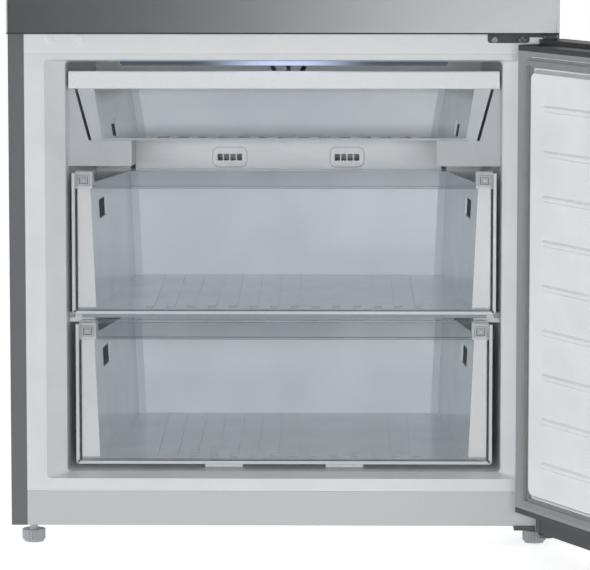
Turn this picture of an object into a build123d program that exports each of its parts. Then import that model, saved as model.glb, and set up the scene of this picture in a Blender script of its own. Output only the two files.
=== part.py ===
from build123d import *
import os
from math import cos, pi, radians, sin

# A two-door refrigerator with its freezer below, its freezer door standing open.
# Millimetres: X to the right, Y to the back, Z up from the floor under the cabinet's middle.

# Cabinet
CABINET_WIDTH = 700.0
CABINET_DEPTH = 640.0
CABINET_TOP = 1880.0
FLOOR_GAP = 26.0
SHEET = 1.0
HEM_WIDTH = 20.5
WRAP_RADIUS = 8.0
BASE_SHEET = 2.0
SEAM_BEVEL = 0.8

# Compartments and their liners
LINER_WALL = 2.0
LINER_RADIUS = 5.0
CORNER_STEPS = 3
LINER_DRAFT = 14.0
FREEZER_SIDE = 70.0
FRIDGE_SIDE = 60.0
MOUTH_SIDE = 46.0
MOUTH_DEPTH = 30.0
MOUTH_FLARE = 4.0
PLINTH_HEIGHT = 45.0
SILL = 20.0
FREEZER_HEIGHT = 531.0
MULLION_GAP = 11.0
MULLION_HEIGHT = 77.0
FRIDGE_SILL = 14.0
TOP_WALL = 65.0
BACK_WALL = 66.0

# Machine room behind the freezer's foot
MACHINE_DEPTH = 150.0
MACHINE_HEIGHT = 222.0
MACHINE_SLOPE = 40.0
STEP_WALL = 42.0
LOUVRE = (160.0, 5.0)
LOUVRE_PITCH = 14.0
LOUVRE_COUNT = 8
COMPRESSOR_RADIUS = 62.0
COMPRESSOR_HEIGHT = 140.0
COMPRESSOR_DOME = 22.0
COMPRESSOR_SIDES = 32
COMPRESSOR_X = 110.0
COMPRESSOR_PLATE = 4.0
COMPRESSOR_FEET = (95.0, 50.0)
GROMMET_RADIUS = 11.0
GROMMET_HEIGHT = 14.0
GROMMET_SIDES = 16
TRAY_SIZE = (150.0, 110.0, 26.0)

# Doors
DOOR_SIDE_GAP = 5.0
DOOR_THICKNESS = 65.0
DOOR_STEP = 30.0
DOOR_GAP = 12.0
DOOR_RADIUS = 4.0
DOOR_BORDER = 34.0
DOOR_END_BORDER = 10.0
DOOR_TOE = 28.0
DOOR_TOE_GAP = 2.0
DOOR_SHOULDER = 6.0
DOOR_TOP_GAP = 4.0
CAP_EDGE = 2.0
CAP_LIP = 7.0
CAP_WALL = 10.0
RIM_LAP = 4.0
RIM_RADIUS = 8.0
BUMP = 8.0
BUMP_TAPER = 6.0
BUMP_MARGIN = 1.5
GASKET_WIDTH = 12.0
GASKET_LIP = 3.0
SOFT_CLEAR = 0.3
RIB_COUNT = 9
RIB_MARGIN = (40.0, 48.0)
RIB_WIDTH = 9.0
RIB_RISE = 3.5
RIB_TAPER = 35.0
GRIP_LENGTH = 300.0
GRIP_FROM_END = 60.0
GRIP_FROM_FRONT = 16.0
GRIP_WIDTH = 32.0
GRIP_DEPTH = 24.0
GRIP_WALL = 2.0
GRIP_RADIUS = 8.0
DYKE_INSET = 73.0
DYKE_WIDTH = 14.0
DYKE_DEPTH = 82.0
DYKE_END = 60.0
BIN_DEPTH = 95.0
BIN_HEIGHT = 105.0
BIN_WALL = 2.5
BIN_COUNT = 3
BIN_LOW = 101.5
BIN_TOP = 20.0
FREEZER_DOOR_ANGLE = 117.0

# Hinges
PIVOT_INSET = 10.0
PIVOT_FROM_FRONT = 25.0
PIN_RADIUS = 4.0
RUNNING_CLEAR = 0.05
BUSH_WALL = 3.0
BUSH_LENGTH = 14.0
BOSS_WALL = 4.0
HINGE_PLATE = 4.0
HINGE_CLEAR = 1.8
HINGE_LIFT = 23.7
HINGE_EAR = 10.0
HINGE_FLANGE = 3.0
HINGE_FLANGE_DROP = 9.2
HINGE_REACH = 76.0
HINGE_WIDTH = 53.0
HINGE_CORNER = 4.0
HINGE_NECK = 12.0
HINGE_SCREW_INSET = 9.0
PLUG_INSET = (92.0, 54.0)
STRAP_SIDE = 28.0
STRAP_NOSE = 10.0
HINGE_TAIL = 70.0
SCREW_RADIUS = 2.3
SCREW_HEAD = (4.4, 2.4)
SCREW_SIDES = 12
SCREW_CLEAR = 0.2
PLUG_RADIUS = 5.5
PLUG_RISE = 1.6
PLUG_SIDES = 20
COVER_HEIGHT = 20.0
COVER_WALL = 2.5
COVER_RADIUS = 6.0

# Freezer drawers
FRONT_SETBACK = 50.0
TUB_GAP = 8.0
TUB_WALL = 2.5
TUB_RIM_DROP = (15.0, 32.0)
TUB_RIM_FLAT = 38.0
TUB_SIDE = 34.0
TUB_FLARE = 8.0
TUB_TAPER = 31.0
TUB_CORNER = 12.0
COLLAR_SIDE = 12.5
FLOOR_RIB = (11.0, 2.0)
FLOOR_RIB_SIDE = 37.0
FLOOR_RIB_COUNT = 14
FLOOR_RIB_END = 24.0
HAND_HOLE = (62.0, 25.0)
HAND_HOLE_FROM_FRONT = 66.0
HAND_HOLE_DROP = 54.0
PANE_SIDE = 10.5
PANE_OVER = 6.0
PANE_WALL = 3.0
PANE_DEPTH = 14.0
PANE_RADIUS = 4.0
PANE_BAND = 22.0
PANE_BAND_SET = 8.0
PANE_BAND_SIDE = 22.0
BOTTOM_DRAWER_NARROWER = 4.0
SHELF_GLASS = 5.0
SHELF_TRIM = (8.0, 12.0)
SHELF_TRIM_WALL = 3.0
SHELF_GAP = 2.0
PAD_HEIGHT = 7.7
PAD_INNER = (54.0, 103.0)
PAD_OUTER = (92.0, 22.0)
PAD_SETBACK = (2.0, 40.0)
TOP_SPACE = 140.7
DRAWER_CLEAR = 0.3

# Top drawer, which runs on inclined runners
TOP_DRAWER_DROP = 104.0
TOP_DRAWER_TILT = 4.7
TOP_TUB_HEIGHT = 78.0
TOP_RIM_DROP = (2.0, 6.0)
TOP_TUB_SIDE = 43.0
TOP_TUB_FLARE = 12.5
TOP_TUB_TAPER = 28.0
TOP_COLLAR_SIDE = (33.0, 10.0)
TOP_COLLAR_DROP = 6.0
BAR_SIDE = 3.5
BAR_HEIGHT = 23.0
BAR_DEPTH = 26.0
BAR_WALL = 3.0
BAR_RADIUS = 3.0
BAR_LOW = 66.0
TOP_HOLE_FROM_FRONT = 105.0
TOP_HOLE_LOW = 5.5
TOP_HOLE = (50.0, 16.0)
TOP_HOLE_STEP = (20.0, 8.0)
RUNNER_HEIGHT = 33.0
RUNNER_LEDGE_SIDE = (83.0, 67.0)
RUNNER_GUIDE = 74.0
RUNNER_GUIDE_GAP = 4.0

# Cold air: cover, coil and fan
COVER_GAP = 12.0
COVER_THICKNESS = 4.0
COVER_PAD_SIDE = 66.0
COVER_PAD_RISE = 4.0
COVER_SLOT = 7.0
VENT_X = 82.0
VENT_DROP = 56.0
VENT_HOLE = (7.4, 9.4)
VENT_COUNT = 4
VENT_PITCH = 9.0
VENT_HOOD = (50.0, 30.0, 3.0)
FAN_DROP = 72.0
FAN_RADIUS = 46.0
FAN_HUB = 15.0
FAN_WIDTH = 22.0
FAN_BLADES = 5
FAN_PITCH = 32.0
FAN_BLADE = 2.2
FAN_GAP = 12.0
FAN_RING_GAP = 8.0
GRILLE_SLOT = 6.0
GRILLE_COUNT = 12
MOTOR_RADIUS = 21.0
MOTOR_LENGTH = 28.0
MOTOR_SIDES = 24
POST_SIDES = 8
SHAFT_RADIUS = 2.0
MOTOR_POST = 3.0
COIL_SIDE = 95.0
COIL_DEPTH = 56.0
COIL_HEIGHT = 150.0
COIL_TUBE = 4.0
COIL_PASSES = 3
COIL_FINS = 9
COIL_SIDES = 8
COIL_FIN = 0.8
COIL_FROM_COVER = 24.0

# Fresh-food compartment
SHELF_COUNT = 4
SHELF_RISE = 11.0
SHELF_TOP_SPACE = 225.0
SHELF_FRONT = 115.0
SHELF_BACK_GAP = 41.0
LEDGE_REACH = 16.0
LEDGE_HEIGHT = 10.0
SHELF_SIDE_GAP = 4.0
CRISPER_HEIGHT = 195.0
CRISPER_GAP = 8.0
CRISPER_SHORTER = 40.0
CRISPER_WALL = 2.5
DUCT_HALF = 95.0
DUCT_RISE = 18.0
DUCT_SLOT = (34.0, 9.0)
DUCT_PITCH = 150.0
DUCT_COUNT = 6
DUCT_END = 40.0
LAMP_SIZE = (420.0, 16.0, 6.0)
LAMP_FROM_FRONT = 42.0

# Feet and rollers
FOOT_INSET = 26.0
FOOT_FROM_FRONT = 28.0
FOOT_RADIUS = 15.0
FOOT_PAD = (12.5, 3.0)
FOOT_DISC = 13.0
FOOT_FLUTES = 20
FOOT_FLUTE = 1.6
STEM_RADIUS = 5.0
STEM_LENGTH = 34.0
ROLLER_INSET = 50.0
ROLLER_FROM_BACK = 40.0
ROLLER_RADIUS = 9.5
ROLLER_WIDTH = 16.0
AXLE_RADIUS = 3.0
CHEEK = 3.0
CHEEK_GAP = 0.5
CHEEK_LENGTH = 16.0

# Places worked out from the sizes
HALF = CABINET_WIDTH / 2
FRONT = -CABINET_DEPTH / 2
BACK = CABINET_DEPTH / 2
HEM = 2 * SHEET
FRAME_HALF = HALF - HEM_WIDTH
BASE_TOP = FLOOR_GAP + BASE_SHEET
MOUTH_HALF = HALF - MOUTH_SIDE
FREEZER_HALF = HALF - FREEZER_SIDE
FRIDGE_HALF = HALF - FRIDGE_SIDE
PLINTH_TOP = FLOOR_GAP + PLINTH_HEIGHT
FREEZER_FLOOR = PLINTH_TOP + SILL
FREEZER_CEILING = FREEZER_FLOOR + FREEZER_HEIGHT
MULLION_LOW = FREEZER_CEILING + MULLION_GAP
MULLION_HIGH = MULLION_LOW + MULLION_HEIGHT
FRIDGE_FLOOR = MULLION_HIGH + FRIDGE_SILL
FRIDGE_CEILING = CABINET_TOP - TOP_WALL
LINER_BACK = BACK - BACK_WALL
MACHINE_FRONT = BACK - MACHINE_DEPTH
MACHINE_ROOF = FLOOR_GAP + MACHINE_HEIGHT
STEP_ROOF = MACHINE_ROOF + STEP_WALL
STEP_FRONT = MACHINE_FRONT - STEP_WALL
FOOT_X = HALF - FOOT_INSET
ROLLER_X = HALF - ROLLER_INSET

DOOR_HALF = HALF - DOOR_SIDE_GAP
DOOR_BACK = FRONT - DOOR_GAP
DOOR_FRONT = DOOR_BACK - DOOR_THICKNESS
DOOR_STEP_Y = DOOR_BACK - DOOR_STEP
LINER_FACE = DOOR_BACK + LINER_WALL + BUMP
PIVOT_X = DOOR_HALF - PIVOT_INSET
PIVOT_Y = DOOR_FRONT + PIVOT_FROM_FRONT
HINGE_LOW = MULLION_LOW + HINGE_LIFT
HINGE_HIGH = HINGE_LOW + HINGE_PLATE
FREEZER_DOOR_LOW = FLOOR_GAP + DOOR_TOE_GAP
FREEZER_DOOR_HIGH = HINGE_LOW - HINGE_CLEAR
UPPER_DOOR_LOW = HINGE_HIGH + HINGE_CLEAR
UPPER_DOOR_HIGH = CABINET_TOP - DOOR_TOP_GAP
STRAP_TOP = FREEZER_DOOR_LOW - HINGE_CLEAR
# Each door's outer foot, inner foot, inner head and outer head
FREEZER_DOOR = (
    FREEZER_DOOR_LOW,
    FREEZER_DOOR_LOW + DOOR_TOE,
    FREEZER_DOOR_HIGH - DOOR_SHOULDER,
    FREEZER_DOOR_HIGH,
)
UPPER_DOOR = (
    UPPER_DOOR_LOW,
    UPPER_DOOR_LOW + DOOR_SHOULDER,
    UPPER_DOOR_HIGH - DOOR_SHOULDER,
    UPPER_DOOR_HIGH,
)
RIM_HALF = DOOR_HALF - DOOR_BORDER + RIM_LAP
RIM_EDGE = CAP_LIP + DOOR_END_BORDER - RIM_LAP
BUMP_INSET = GASKET_WIDTH + BUMP_MARGIN
DYKE_HALF = DOOR_HALF - DYKE_INSET
BIN_PITCH = (UPPER_DOOR[2] - UPPER_DOOR[1] - BIN_LOW - BIN_TOP) / BIN_COUNT

DRAWER_FACE = FRONT + FRONT_SETBACK + PANE_DEPTH
BOTTOM_DRAWER_LOW = FREEZER_FLOOR + PAD_HEIGHT + DRAWER_CLEAR
DRAWER_SPACE = FREEZER_HEIGHT - TOP_SPACE - PAD_HEIGHT - SHELF_GAP - SHELF_TRIM[0] - 2 * DRAWER_CLEAR
PANE_HEIGHT = DRAWER_SPACE / 2
PANE_HALF = FREEZER_HALF - PANE_SIDE
TUB_HEIGHT = PANE_HEIGHT - PANE_OVER
TUB_HALF = FREEZER_HALF - TUB_SIDE
COLLAR_HALF = FREEZER_HALF - COLLAR_SIDE
SHELF_LOW = BOTTOM_DRAWER_LOW + PANE_HEIGHT + SHELF_GAP
MIDDLE_DRAWER_LOW = SHELF_LOW + SHELF_TRIM[0] + DRAWER_CLEAR
TUB_BACK = STEP_FRONT - TUB_GAP
TUB_DEPTH = TUB_BACK - DRAWER_FACE
TOP_DRAWER_LOW = FREEZER_CEILING - TOP_DRAWER_DROP
TOP_TUB_HALF = FREEZER_HALF - TOP_TUB_SIDE
TOP_COLLAR = tuple(FREEZER_HALF - side for side in TOP_COLLAR_SIDE)
BAR_HALF = FREEZER_HALF - BAR_SIDE
RUNNER_LEDGE = tuple(FREEZER_HALF - side for side in RUNNER_LEDGE_SIDE)
COVER_FACE = TUB_BACK + COVER_GAP
COVER_BACK = COVER_FACE + COVER_THICKNESS
COVER_PAD_HALF = FREEZER_HALF - COVER_PAD_SIDE
COIL_HALF = FREEZER_HALF - COIL_SIDE
VENT_Z = TOP_DRAWER_LOW - VENT_DROP
FAN_Z = FREEZER_CEILING - FAN_DROP
GLASS_HALF = FREEZER_HALF - LINER_DRAFT - SHELF_SIDE_GAP
FRIDGE_GLASS_HALF = FRIDGE_HALF - LINER_DRAFT - SHELF_SIDE_GAP
FRIDGE_SHELF_Y = FRONT + SHELF_FRONT
SHELF_DEPTH = LINER_BACK - DUCT_RISE - SHELF_BACK_GAP - FRIDGE_SHELF_Y
CRISPER_DEPTH = SHELF_DEPTH - CRISPER_SHORTER
FIRST_SHELF = FRIDGE_FLOOR + CRISPER_HEIGHT + SHELF_RISE
SHELF_PITCH = (FRIDGE_CEILING - SHELF_TOP_SPACE - FIRST_SHELF) / (SHELF_COUNT - 1)
SHELF_LEVELS = [FIRST_SHELF + n * SHELF_PITCH for n in range(SHELF_COUNT)]


def block(x, y, z):
    """A box between the low and high values given for each axis."""
    spans = (x, y, z)
    middle = [(low + high) / 2 for low, high in spans]
    size = [high - low for low, high in spans]
    return Pos(*middle) * Box(*size)


def both(half):
    """The low and high values of a span centred on zero."""
    return (-half, half)


def rod(radius, length, start, axis=Axis.Z, sides=0):
    """A bar of that length from its start along an axis, round or with that many sides."""
    plane = Plane(start, z_dir=axis.direction)
    section = RegularPolygon(radius, sides) if sides else Circle(radius)
    return extrude(plane * section, amount=length)


def front_outline(half, low, high, y, radius):
    """A rectangle that faces the front at depth y, its corners rounded in short steps."""
    plane = Plane((0, y, (low + high) / 2), x_dir=(1, 0, 0), z_dir=(0, 1, 0))
    reach_x, reach_z = half - radius, (high - low) / 2 - radius
    points = []
    for quarter, (right, up) in enumerate(((1, 1), (-1, 1), (-1, -1), (1, -1))):
        for n in range(CORNER_STEPS + 1):
            turn = (quarter + n / CORNER_STEPS) * pi / 2
            x = right * reach_x + radius * cos(turn)
            points.append((x, up * reach_z + radius * sin(turn)))
    return plane * make_face(Polyline(*points, close=True))


def side_prism(points, half):
    """An outline given as (Y, Z) points, run across the cabinet."""
    face = make_face(Polyline(*points, close=True))
    return extrude(Plane.YZ * face, amount=half, both=True)


def mirrored(shape):
    """A shape on the right and its mirror image on the left."""
    return shape + mirror(shape, about=Plane.YZ)


def lined_space(half, floor, ceiling, grow):
    """A compartment's inside: a flared mouth, then walls that close in towards the back."""
    radius = LINER_RADIUS + grow
    throat_y = FRONT + MOUTH_DEPTH
    flare = MOUTH_FLARE + grow
    mouth = front_outline(MOUTH_HALF + grow, floor - flare, ceiling + flare, FRONT, radius)
    throat = front_outline(half + grow, floor - grow, ceiling + grow, throat_y, radius)
    back_half = half - LINER_DRAFT + grow
    back = front_outline(back_half, floor - grow, ceiling + grow, LINER_BACK + grow, radius)
    return loft([mouth, throat], ruled=True) + loft([throat, back], ruled=True)


def machine_room(grow):
    """The machine room's prism, each of its faces moved out by grow."""
    points = (
        (MACHINE_FRONT, BASE_TOP),
        (MACHINE_FRONT, MACHINE_ROOF - MACHINE_SLOPE),
        (MACHINE_FRONT + MACHINE_SLOPE, MACHINE_ROOF),
        (BACK, MACHINE_ROOF),
        (BACK, BASE_TOP),
    )
    face = make_face(Polyline(*points, close=True))
    if grow:
        face = offset(face, amount=grow, kind=Kind.INTERSECTION)
    return extrude(Plane.YZ * face, amount=HALF - SHEET, both=True)


def freezer_space(grow):
    """The freezer's inside, with the step over the machine room left out."""
    space = lined_space(FREEZER_HALF, FREEZER_FLOOR, FREEZER_CEILING, grow)
    return space - machine_room(STEP_WALL - grow)


def fridge_space(grow):
    """The fresh-food compartment's inside."""
    return lined_space(FRIDGE_HALF, FRIDGE_FLOOR, FRIDGE_CEILING, grow)


def arch(inset, y, low):
    """The cabinet's body seen from the front: square at its foot, rounded at its top."""
    body = block(both(HALF - inset), y, (low, CABINET_TOP - inset))
    return fillet(body.edges().filter_by(Axis.Y).group_by(Axis.Z)[-1], WRAP_RADIUS - inset)


def foot_places():
    """The two front feet, left and right."""
    return [(side * FOOT_X, FRONT + FOOT_FROM_FRONT) for side in (-1, 1)]


def outer_wrap():
    """Sides and top bent from one painted sheet, hemmed round the front."""
    shell = arch(0, (FRONT, BACK), FLOOR_GAP) - arch(SHEET, (FRONT + HEM, BACK), FLOOR_GAP)
    return shell - block(both(FRAME_HALF), (FRONT, FRONT + HEM), (0, CABINET_TOP - HEM_WIDTH))


def rear_panel():
    """The back sheet above the machine room."""
    return arch(SHEET, (BACK - SHEET, BACK), MACHINE_ROOF)


def base_plate():
    """The floor sheet, with the rollers' cheeks under it and holes for the feet's stems."""
    inside = both(HALF - SHEET)
    plate = block(inside, (FRONT + HEM, BACK - SHEET), (FLOOR_GAP, BASE_TOP))
    for x, y in foot_places():
        plate -= rod(STEM_RADIUS + RUNNING_CLEAR, BASE_TOP, (x, y, 0))
    reach = ROLLER_WIDTH / 2 + CHEEK_GAP
    y = BACK - ROLLER_FROM_BACK
    foot = ROLLER_RADIUS - AXLE_RADIUS - CHEEK
    cheek_y = (y - CHEEK_LENGTH / 2, y + CHEEK_LENGTH / 2)
    axle_hole = rod(AXLE_RADIUS, CABINET_WIDTH, (-HALF, y, ROLLER_RADIUS), Axis.X)
    for x in (-ROLLER_X, ROLLER_X):
        for side in (-1, 1):
            near, far = sorted((x + side * reach, x + side * (reach + CHEEK)))
            plate += block((near, far), cheek_y, (foot, FLOOR_GAP)) - axle_hole
    return plate


def machine_bulkhead():
    """The bent sheet that closes the machine room's front and roof."""
    sheet = machine_room(0) - Pos(0, SHEET, -SHEET) * machine_room(0)
    return sheet - block(both(HALF), (BACK - SHEET, BACK), (FLOOR_GAP, MACHINE_ROOF))


def cabinet_foam():
    """Insulation between the wrap, the back sheet and the two liners."""
    foam = arch(SHEET, (FRONT + HEM, BACK - SHEET), BASE_TOP)
    foam -= freezer_space(LINER_WALL)
    foam -= fridge_space(LINER_WALL)
    foam -= machine_room(0)
    for x, y in foot_places():
        foam -= rod(STEM_RADIUS + CHEEK, STEM_LENGTH, (x, y, BASE_TOP))
    return foam


def front_frame(low, high):
    """The plate round a compartment's mouth, level with the wrap's hem."""
    return block(both(FRAME_HALF), (FRONT, FRONT + HEM), (low, high))


def freezer_liner():
    """The freezer's liner with its frame, floor pads and the ledges of the glass shelf."""
    space = freezer_space(0)
    liner = freezer_space(LINER_WALL) + front_frame(PLINTH_TOP, MULLION_LOW) - space
    pad_z = (FREEZER_FLOOR, FREEZER_FLOOR + PAD_HEIGHT)
    outer_pad = tuple(FREEZER_HALF - side for side in PAD_OUTER)
    for pad_x, setback in zip((PAD_INNER, outer_pad), PAD_SETBACK):
        liner += mirrored(block(pad_x, (DRAWER_FACE + setback, TUB_BACK), pad_z))
    ledge_x = (GLASS_HALF - LEDGE_REACH, HALF)
    ledge_z = (SHELF_LOW + SHELF_TRIM_WALL - LEDGE_HEIGHT, SHELF_LOW + SHELF_TRIM_WALL)
    ledge_y = (DRAWER_FACE + SHELF_TRIM[1], TUB_BACK)
    return liner + (mirrored(block(ledge_x, ledge_y, ledge_z)) & space)


def fridge_liner():
    """The fresh-food liner with its frame and the shelves' ledges."""
    space = fridge_space(0)
    frame = front_frame(MULLION_HIGH, CABINET_TOP - HEM_WIDTH)
    liner = fridge_space(LINER_WALL) + frame - space
    ledge_x = (FRIDGE_GLASS_HALF - LEDGE_REACH, HALF)
    ledge_y = (FRIDGE_SHELF_Y + SHELF_TRIM[1], FRIDGE_SHELF_Y + SHELF_DEPTH)
    for level in SHELF_LEVELS:
        ledge = block(ledge_x, ledge_y, (level - LEDGE_HEIGHT, level))
        liner += mirrored(ledge) & space
    return liner


def trim_strip(low, high):
    """A flat strip across the front, bevelled along its seams."""
    strip = front_frame(low, high)
    seams = strip.edges().filter_by(Axis.X).group_by(Axis.Y)[0]
    return chamfer(seams, SEAM_BEVEL)


def hinge_hole_plugs():
    """Domed plugs in the unused hinge holes on the left."""
    plugs = Part()
    for inset in PLUG_INSET:
        spot = (inset - HALF, FRONT - PLUG_RISE, screw_z())
        dome = rod(PLUG_RADIUS, PLUG_RISE, spot, Axis.Y, PLUG_SIDES)
        plugs += chamfer(dome.edges().group_by(Axis.Y)[0], PLUG_RISE / 2)
    return plugs


def hinge_arm(low, back):
    """A hinge's flat arm, rounded about the pivot, widening towards its flange."""
    right, left = PIVOT_X + HINGE_EAR, PIVOT_X - HINGE_EAR
    points = (
        (right, PIVOT_Y),
        (right, back),
        (hinge_left(), back),
        (hinge_left(), back - HINGE_NECK),
        (left, PIVOT_Y + HINGE_NECK),
        (left, PIVOT_Y),
    )
    arm = extrude(Pos(0, 0, low) * make_face(Polyline(*points, close=True)), amount=HINGE_PLATE)
    return arm + rod(HINGE_EAR, HINGE_PLATE, (PIVOT_X, PIVOT_Y, low))


def hinge_left():
    """The left end of the middle and top hinges' flanges."""
    return PIVOT_X - HINGE_REACH


def screw_places():
    """The screws' places across a hinge flange."""
    return (hinge_left() + HINGE_SCREW_INSET, hinge_left() + HINGE_WIDTH - HINGE_SCREW_INSET)


def pin(low, high):
    """A hinge pin on the doors' pivot line."""
    return rod(PIN_RADIUS, high - low, (PIVOT_X, PIVOT_Y, low))


def screw_z():
    """The height of the screws in the middle hinge's flange."""
    return HINGE_LOW - HINGE_FLANGE_DROP / 2


def middle_hinge():
    """The bracket between the doors, with a pin up and a pin down."""
    arm = hinge_arm(HINGE_LOW, FRONT)
    flange_x = (hinge_left(), hinge_left() + HINGE_WIDTH)
    flange_z = (HINGE_LOW - HINGE_FLANGE_DROP, HINGE_HIGH)
    flange = block(flange_x, (FRONT - HINGE_FLANGE, FRONT), flange_z)
    flange = fillet(flange.edges().filter_by(Axis.Y).group_by(Axis.Z)[0], HINGE_CORNER)
    for x in screw_places():
        spot = (x, FRONT - HINGE_FLANGE, screw_z())
        flange -= rod(SCREW_RADIUS + SCREW_CLEAR, HINGE_FLANGE, spot, Axis.Y, SCREW_SIDES)
    reach = HINGE_CLEAR + BUSH_LENGTH
    return arm + flange + pin(HINGE_LOW - reach, HINGE_HIGH + reach)


def bottom_hinge():
    """The joggled strap under the freezer door, pierced by the right foot's stem."""
    low = STRAP_TOP - HINGE_PLATE
    tail = (FRONT + HINGE_TAIL, FLOOR_GAP)
    points = (
        (PIVOT_Y, low),
        (PIVOT_Y, STRAP_TOP),
        (FRONT - HINGE_PLATE, STRAP_TOP),
        (FRONT, FLOOR_GAP),
        tail,
        (tail[0], FLOOR_GAP - HINGE_PLATE),
        (FRONT + HINGE_PLATE, FLOOR_GAP - HINGE_PLATE),
        (FRONT, low),
    )
    strap = Pos(PIVOT_X, 0, 0) * side_prism(points, HINGE_EAR)
    strap += rod(HINGE_EAR, HINGE_PLATE, (PIVOT_X, PIVOT_Y, low))
    x, y = foot_places()[1]
    wide_x = (x - STRAP_SIDE, PIVOT_X + HINGE_EAR)
    strap += block(wide_x, (FRONT - STRAP_NOSE, tail[0]), (FLOOR_GAP - HINGE_PLATE, FLOOR_GAP))
    strap -= rod(STEM_RADIUS + RUNNING_CLEAR, FLOOR_GAP, (x, y, 0))
    return strap + pin(STRAP_TOP, STRAP_TOP + HINGE_CLEAR + BUSH_LENGTH)


def top_hinge():
    """The plate on the cabinet's top, with its pin down into the upper door."""
    plate = hinge_arm(CABINET_TOP, FRONT)
    plate_x = (hinge_left(), PIVOT_X + HINGE_EAR)
    plate += block(plate_x, (FRONT, FRONT + HINGE_TAIL), (CABINET_TOP, CABINET_TOP + HINGE_PLATE))
    for x in screw_places():
        spot = (x, FRONT + HINGE_TAIL / 2, CABINET_TOP)
        plate -= rod(SCREW_RADIUS + SCREW_CLEAR, HINGE_PLATE, spot, Axis.Z, SCREW_SIDES)
    return plate + pin(CABINET_TOP - DOOR_TOP_GAP - BUSH_LENGTH, CABINET_TOP)


def hinge_screws():
    """Pan-headed screws of the middle and top hinges."""
    radius, rise = SCREW_HEAD
    screws = Part()
    for x in screw_places():
        head_y = FRONT - HINGE_FLANGE
        head = rod(radius, rise, (x, head_y - rise, screw_z()), Axis.Y, PLUG_SIDES)
        screws += chamfer(head.edges().group_by(Axis.Y)[0], rise / 3)
        screws += rod(SCREW_RADIUS, HINGE_FLANGE, (x, head_y, screw_z()), Axis.Y, SCREW_SIDES)
        spot_y = FRONT + HINGE_TAIL / 2
        head = rod(radius, rise, (x, spot_y, CABINET_TOP + HINGE_PLATE), Axis.Z, PLUG_SIDES)
        screws += chamfer(head.edges().group_by(Axis.Z)[-1], rise / 3)
        screws += rod(SCREW_RADIUS, HINGE_PLATE, (x, spot_y, CABINET_TOP), Axis.Z, SCREW_SIDES)
    return screws


def top_hinge_cover():
    """The moulded cap over the top hinge."""
    margin = COVER_WALL + HINGE_CLEAR
    x = (hinge_left() - margin, PIVOT_X + HINGE_EAR + HINGE_CLEAR)
    y = (PIVOT_Y - HINGE_EAR - margin, FRONT + HINGE_TAIL + margin)
    shell = block(x, y, (CABINET_TOP, CABINET_TOP + COVER_HEIGHT))
    shell = chamfer(shell.edges().filter_by(Axis.Z), COVER_RADIUS)
    shell = chamfer(shell.faces().sort_by(Axis.Z)[-1].edges(), COVER_RADIUS / 2)
    inner_x = (x[0] + COVER_WALL, x[1] - HINGE_CLEAR / 2)
    inner_y = (y[0] + COVER_WALL, y[1] - COVER_WALL)
    return shell - block(inner_x, inner_y, (CABINET_TOP, CABINET_TOP + COVER_HEIGHT - COVER_WALL))


def door_prism(inset, low, high):
    """A door's body between two heights, rounded along its front edges."""
    y = (DOOR_FRONT + inset, DOOR_BACK - inset)
    body = block(both(DOOR_HALF - inset), y, (low, high))
    front_edges = body.edges().filter_by(Axis.Z).group_by(Axis.Y)[0]
    return fillet(front_edges, DOOR_RADIUS - inset)


def door_notches(door, edge):
    """What the smaller inner half of a door lacks at its foot and head."""
    low, inner_low, inner_high, high = door
    y = (DOOR_STEP_Y, DOOR_BACK)
    foot = block(both(HALF), y, (low, inner_low + edge))
    return foot + block(both(HALF), y, (inner_high - edge, high))


def door_window(door):
    """The opening in the skin's back, which the liner closes."""
    margin = CAP_LIP + DOOR_END_BORDER
    z = (door[1] + margin, door[2] - margin)
    return block(both(DOOR_HALF - DOOR_BORDER), (DOOR_BACK - SHEET, DOOR_BACK), z)


def grip_body(grip_low, inset):
    """The finger pocket in a door's free edge, drawn in by inset."""
    x = (-DOOR_HALF, -DOOR_HALF + GRIP_DEPTH - inset)
    y_low = DOOR_FRONT + GRIP_FROM_FRONT
    y = (y_low + inset, y_low + GRIP_WIDTH - inset)
    pocket = block(x, y, (grip_low + inset, grip_low + GRIP_LENGTH - inset))
    return fillet(pocket.faces().sort_by(Axis.X)[-1].edges(), GRIP_RADIUS - inset)


def door_grip(grip_low):
    """The moulded cup that lines the finger pocket."""
    return grip_body(grip_low, 0) - grip_body(grip_low, GRIP_WALL)


def door_skin(door, grip_low):
    """The folded sheet of a door: its face, sides and the border round its back."""
    low, _, _, high = door
    skin = door_prism(0, low + CAP_EDGE, high - CAP_EDGE) - door_prism(SHEET, low, high)
    return skin - door_window(door) - door_notches(door, CAP_LIP) - grip_body(grip_low, 0)


def door_cap(door, sign, skin):
    """The moulding that closes a door's foot (sign 1) or head (sign -1), with its pivot boss."""
    low, inner_low, inner_high, high = door
    edge, inner = (low, inner_low) if sign > 0 else (high, inner_high)
    lip = inner + sign * CAP_LIP
    wall = edge + sign * CAP_WALL
    points = (
        (DOOR_FRONT, edge),
        (DOOR_STEP_Y, edge),
        (DOOR_STEP_Y, inner),
        (DOOR_BACK, inner),
        (DOOR_BACK, lip),
        (DOOR_STEP_Y - CAP_WALL, lip),
        (DOOR_STEP_Y - CAP_WALL, wall),
        (DOOR_FRONT, wall),
    )
    cap = side_prism(points, DOOR_HALF) & door_prism(0, low, high)
    bush_radius = PIN_RADIUS + RUNNING_CLEAR + BUSH_WALL
    depth = BUSH_LENGTH + BOSS_WALL
    start = edge if sign > 0 else edge - depth
    boss = rod(bush_radius + BOSS_WALL, depth, (PIVOT_X, PIVOT_Y, start))
    cap += boss & door_prism(SHEET, low, high)
    return cap - skin - door_sockets(door)


def door_sockets(door):
    """The full round spaces that a door's two pivot bushes fill."""
    radius = PIN_RADIUS + RUNNING_CLEAR + BUSH_WALL
    foot = rod(radius, BUSH_LENGTH, (PIVOT_X, PIVOT_Y, door[0]))
    return foot + rod(radius, BUSH_LENGTH, (PIVOT_X, PIVOT_Y, door[3] - BUSH_LENGTH))


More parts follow.
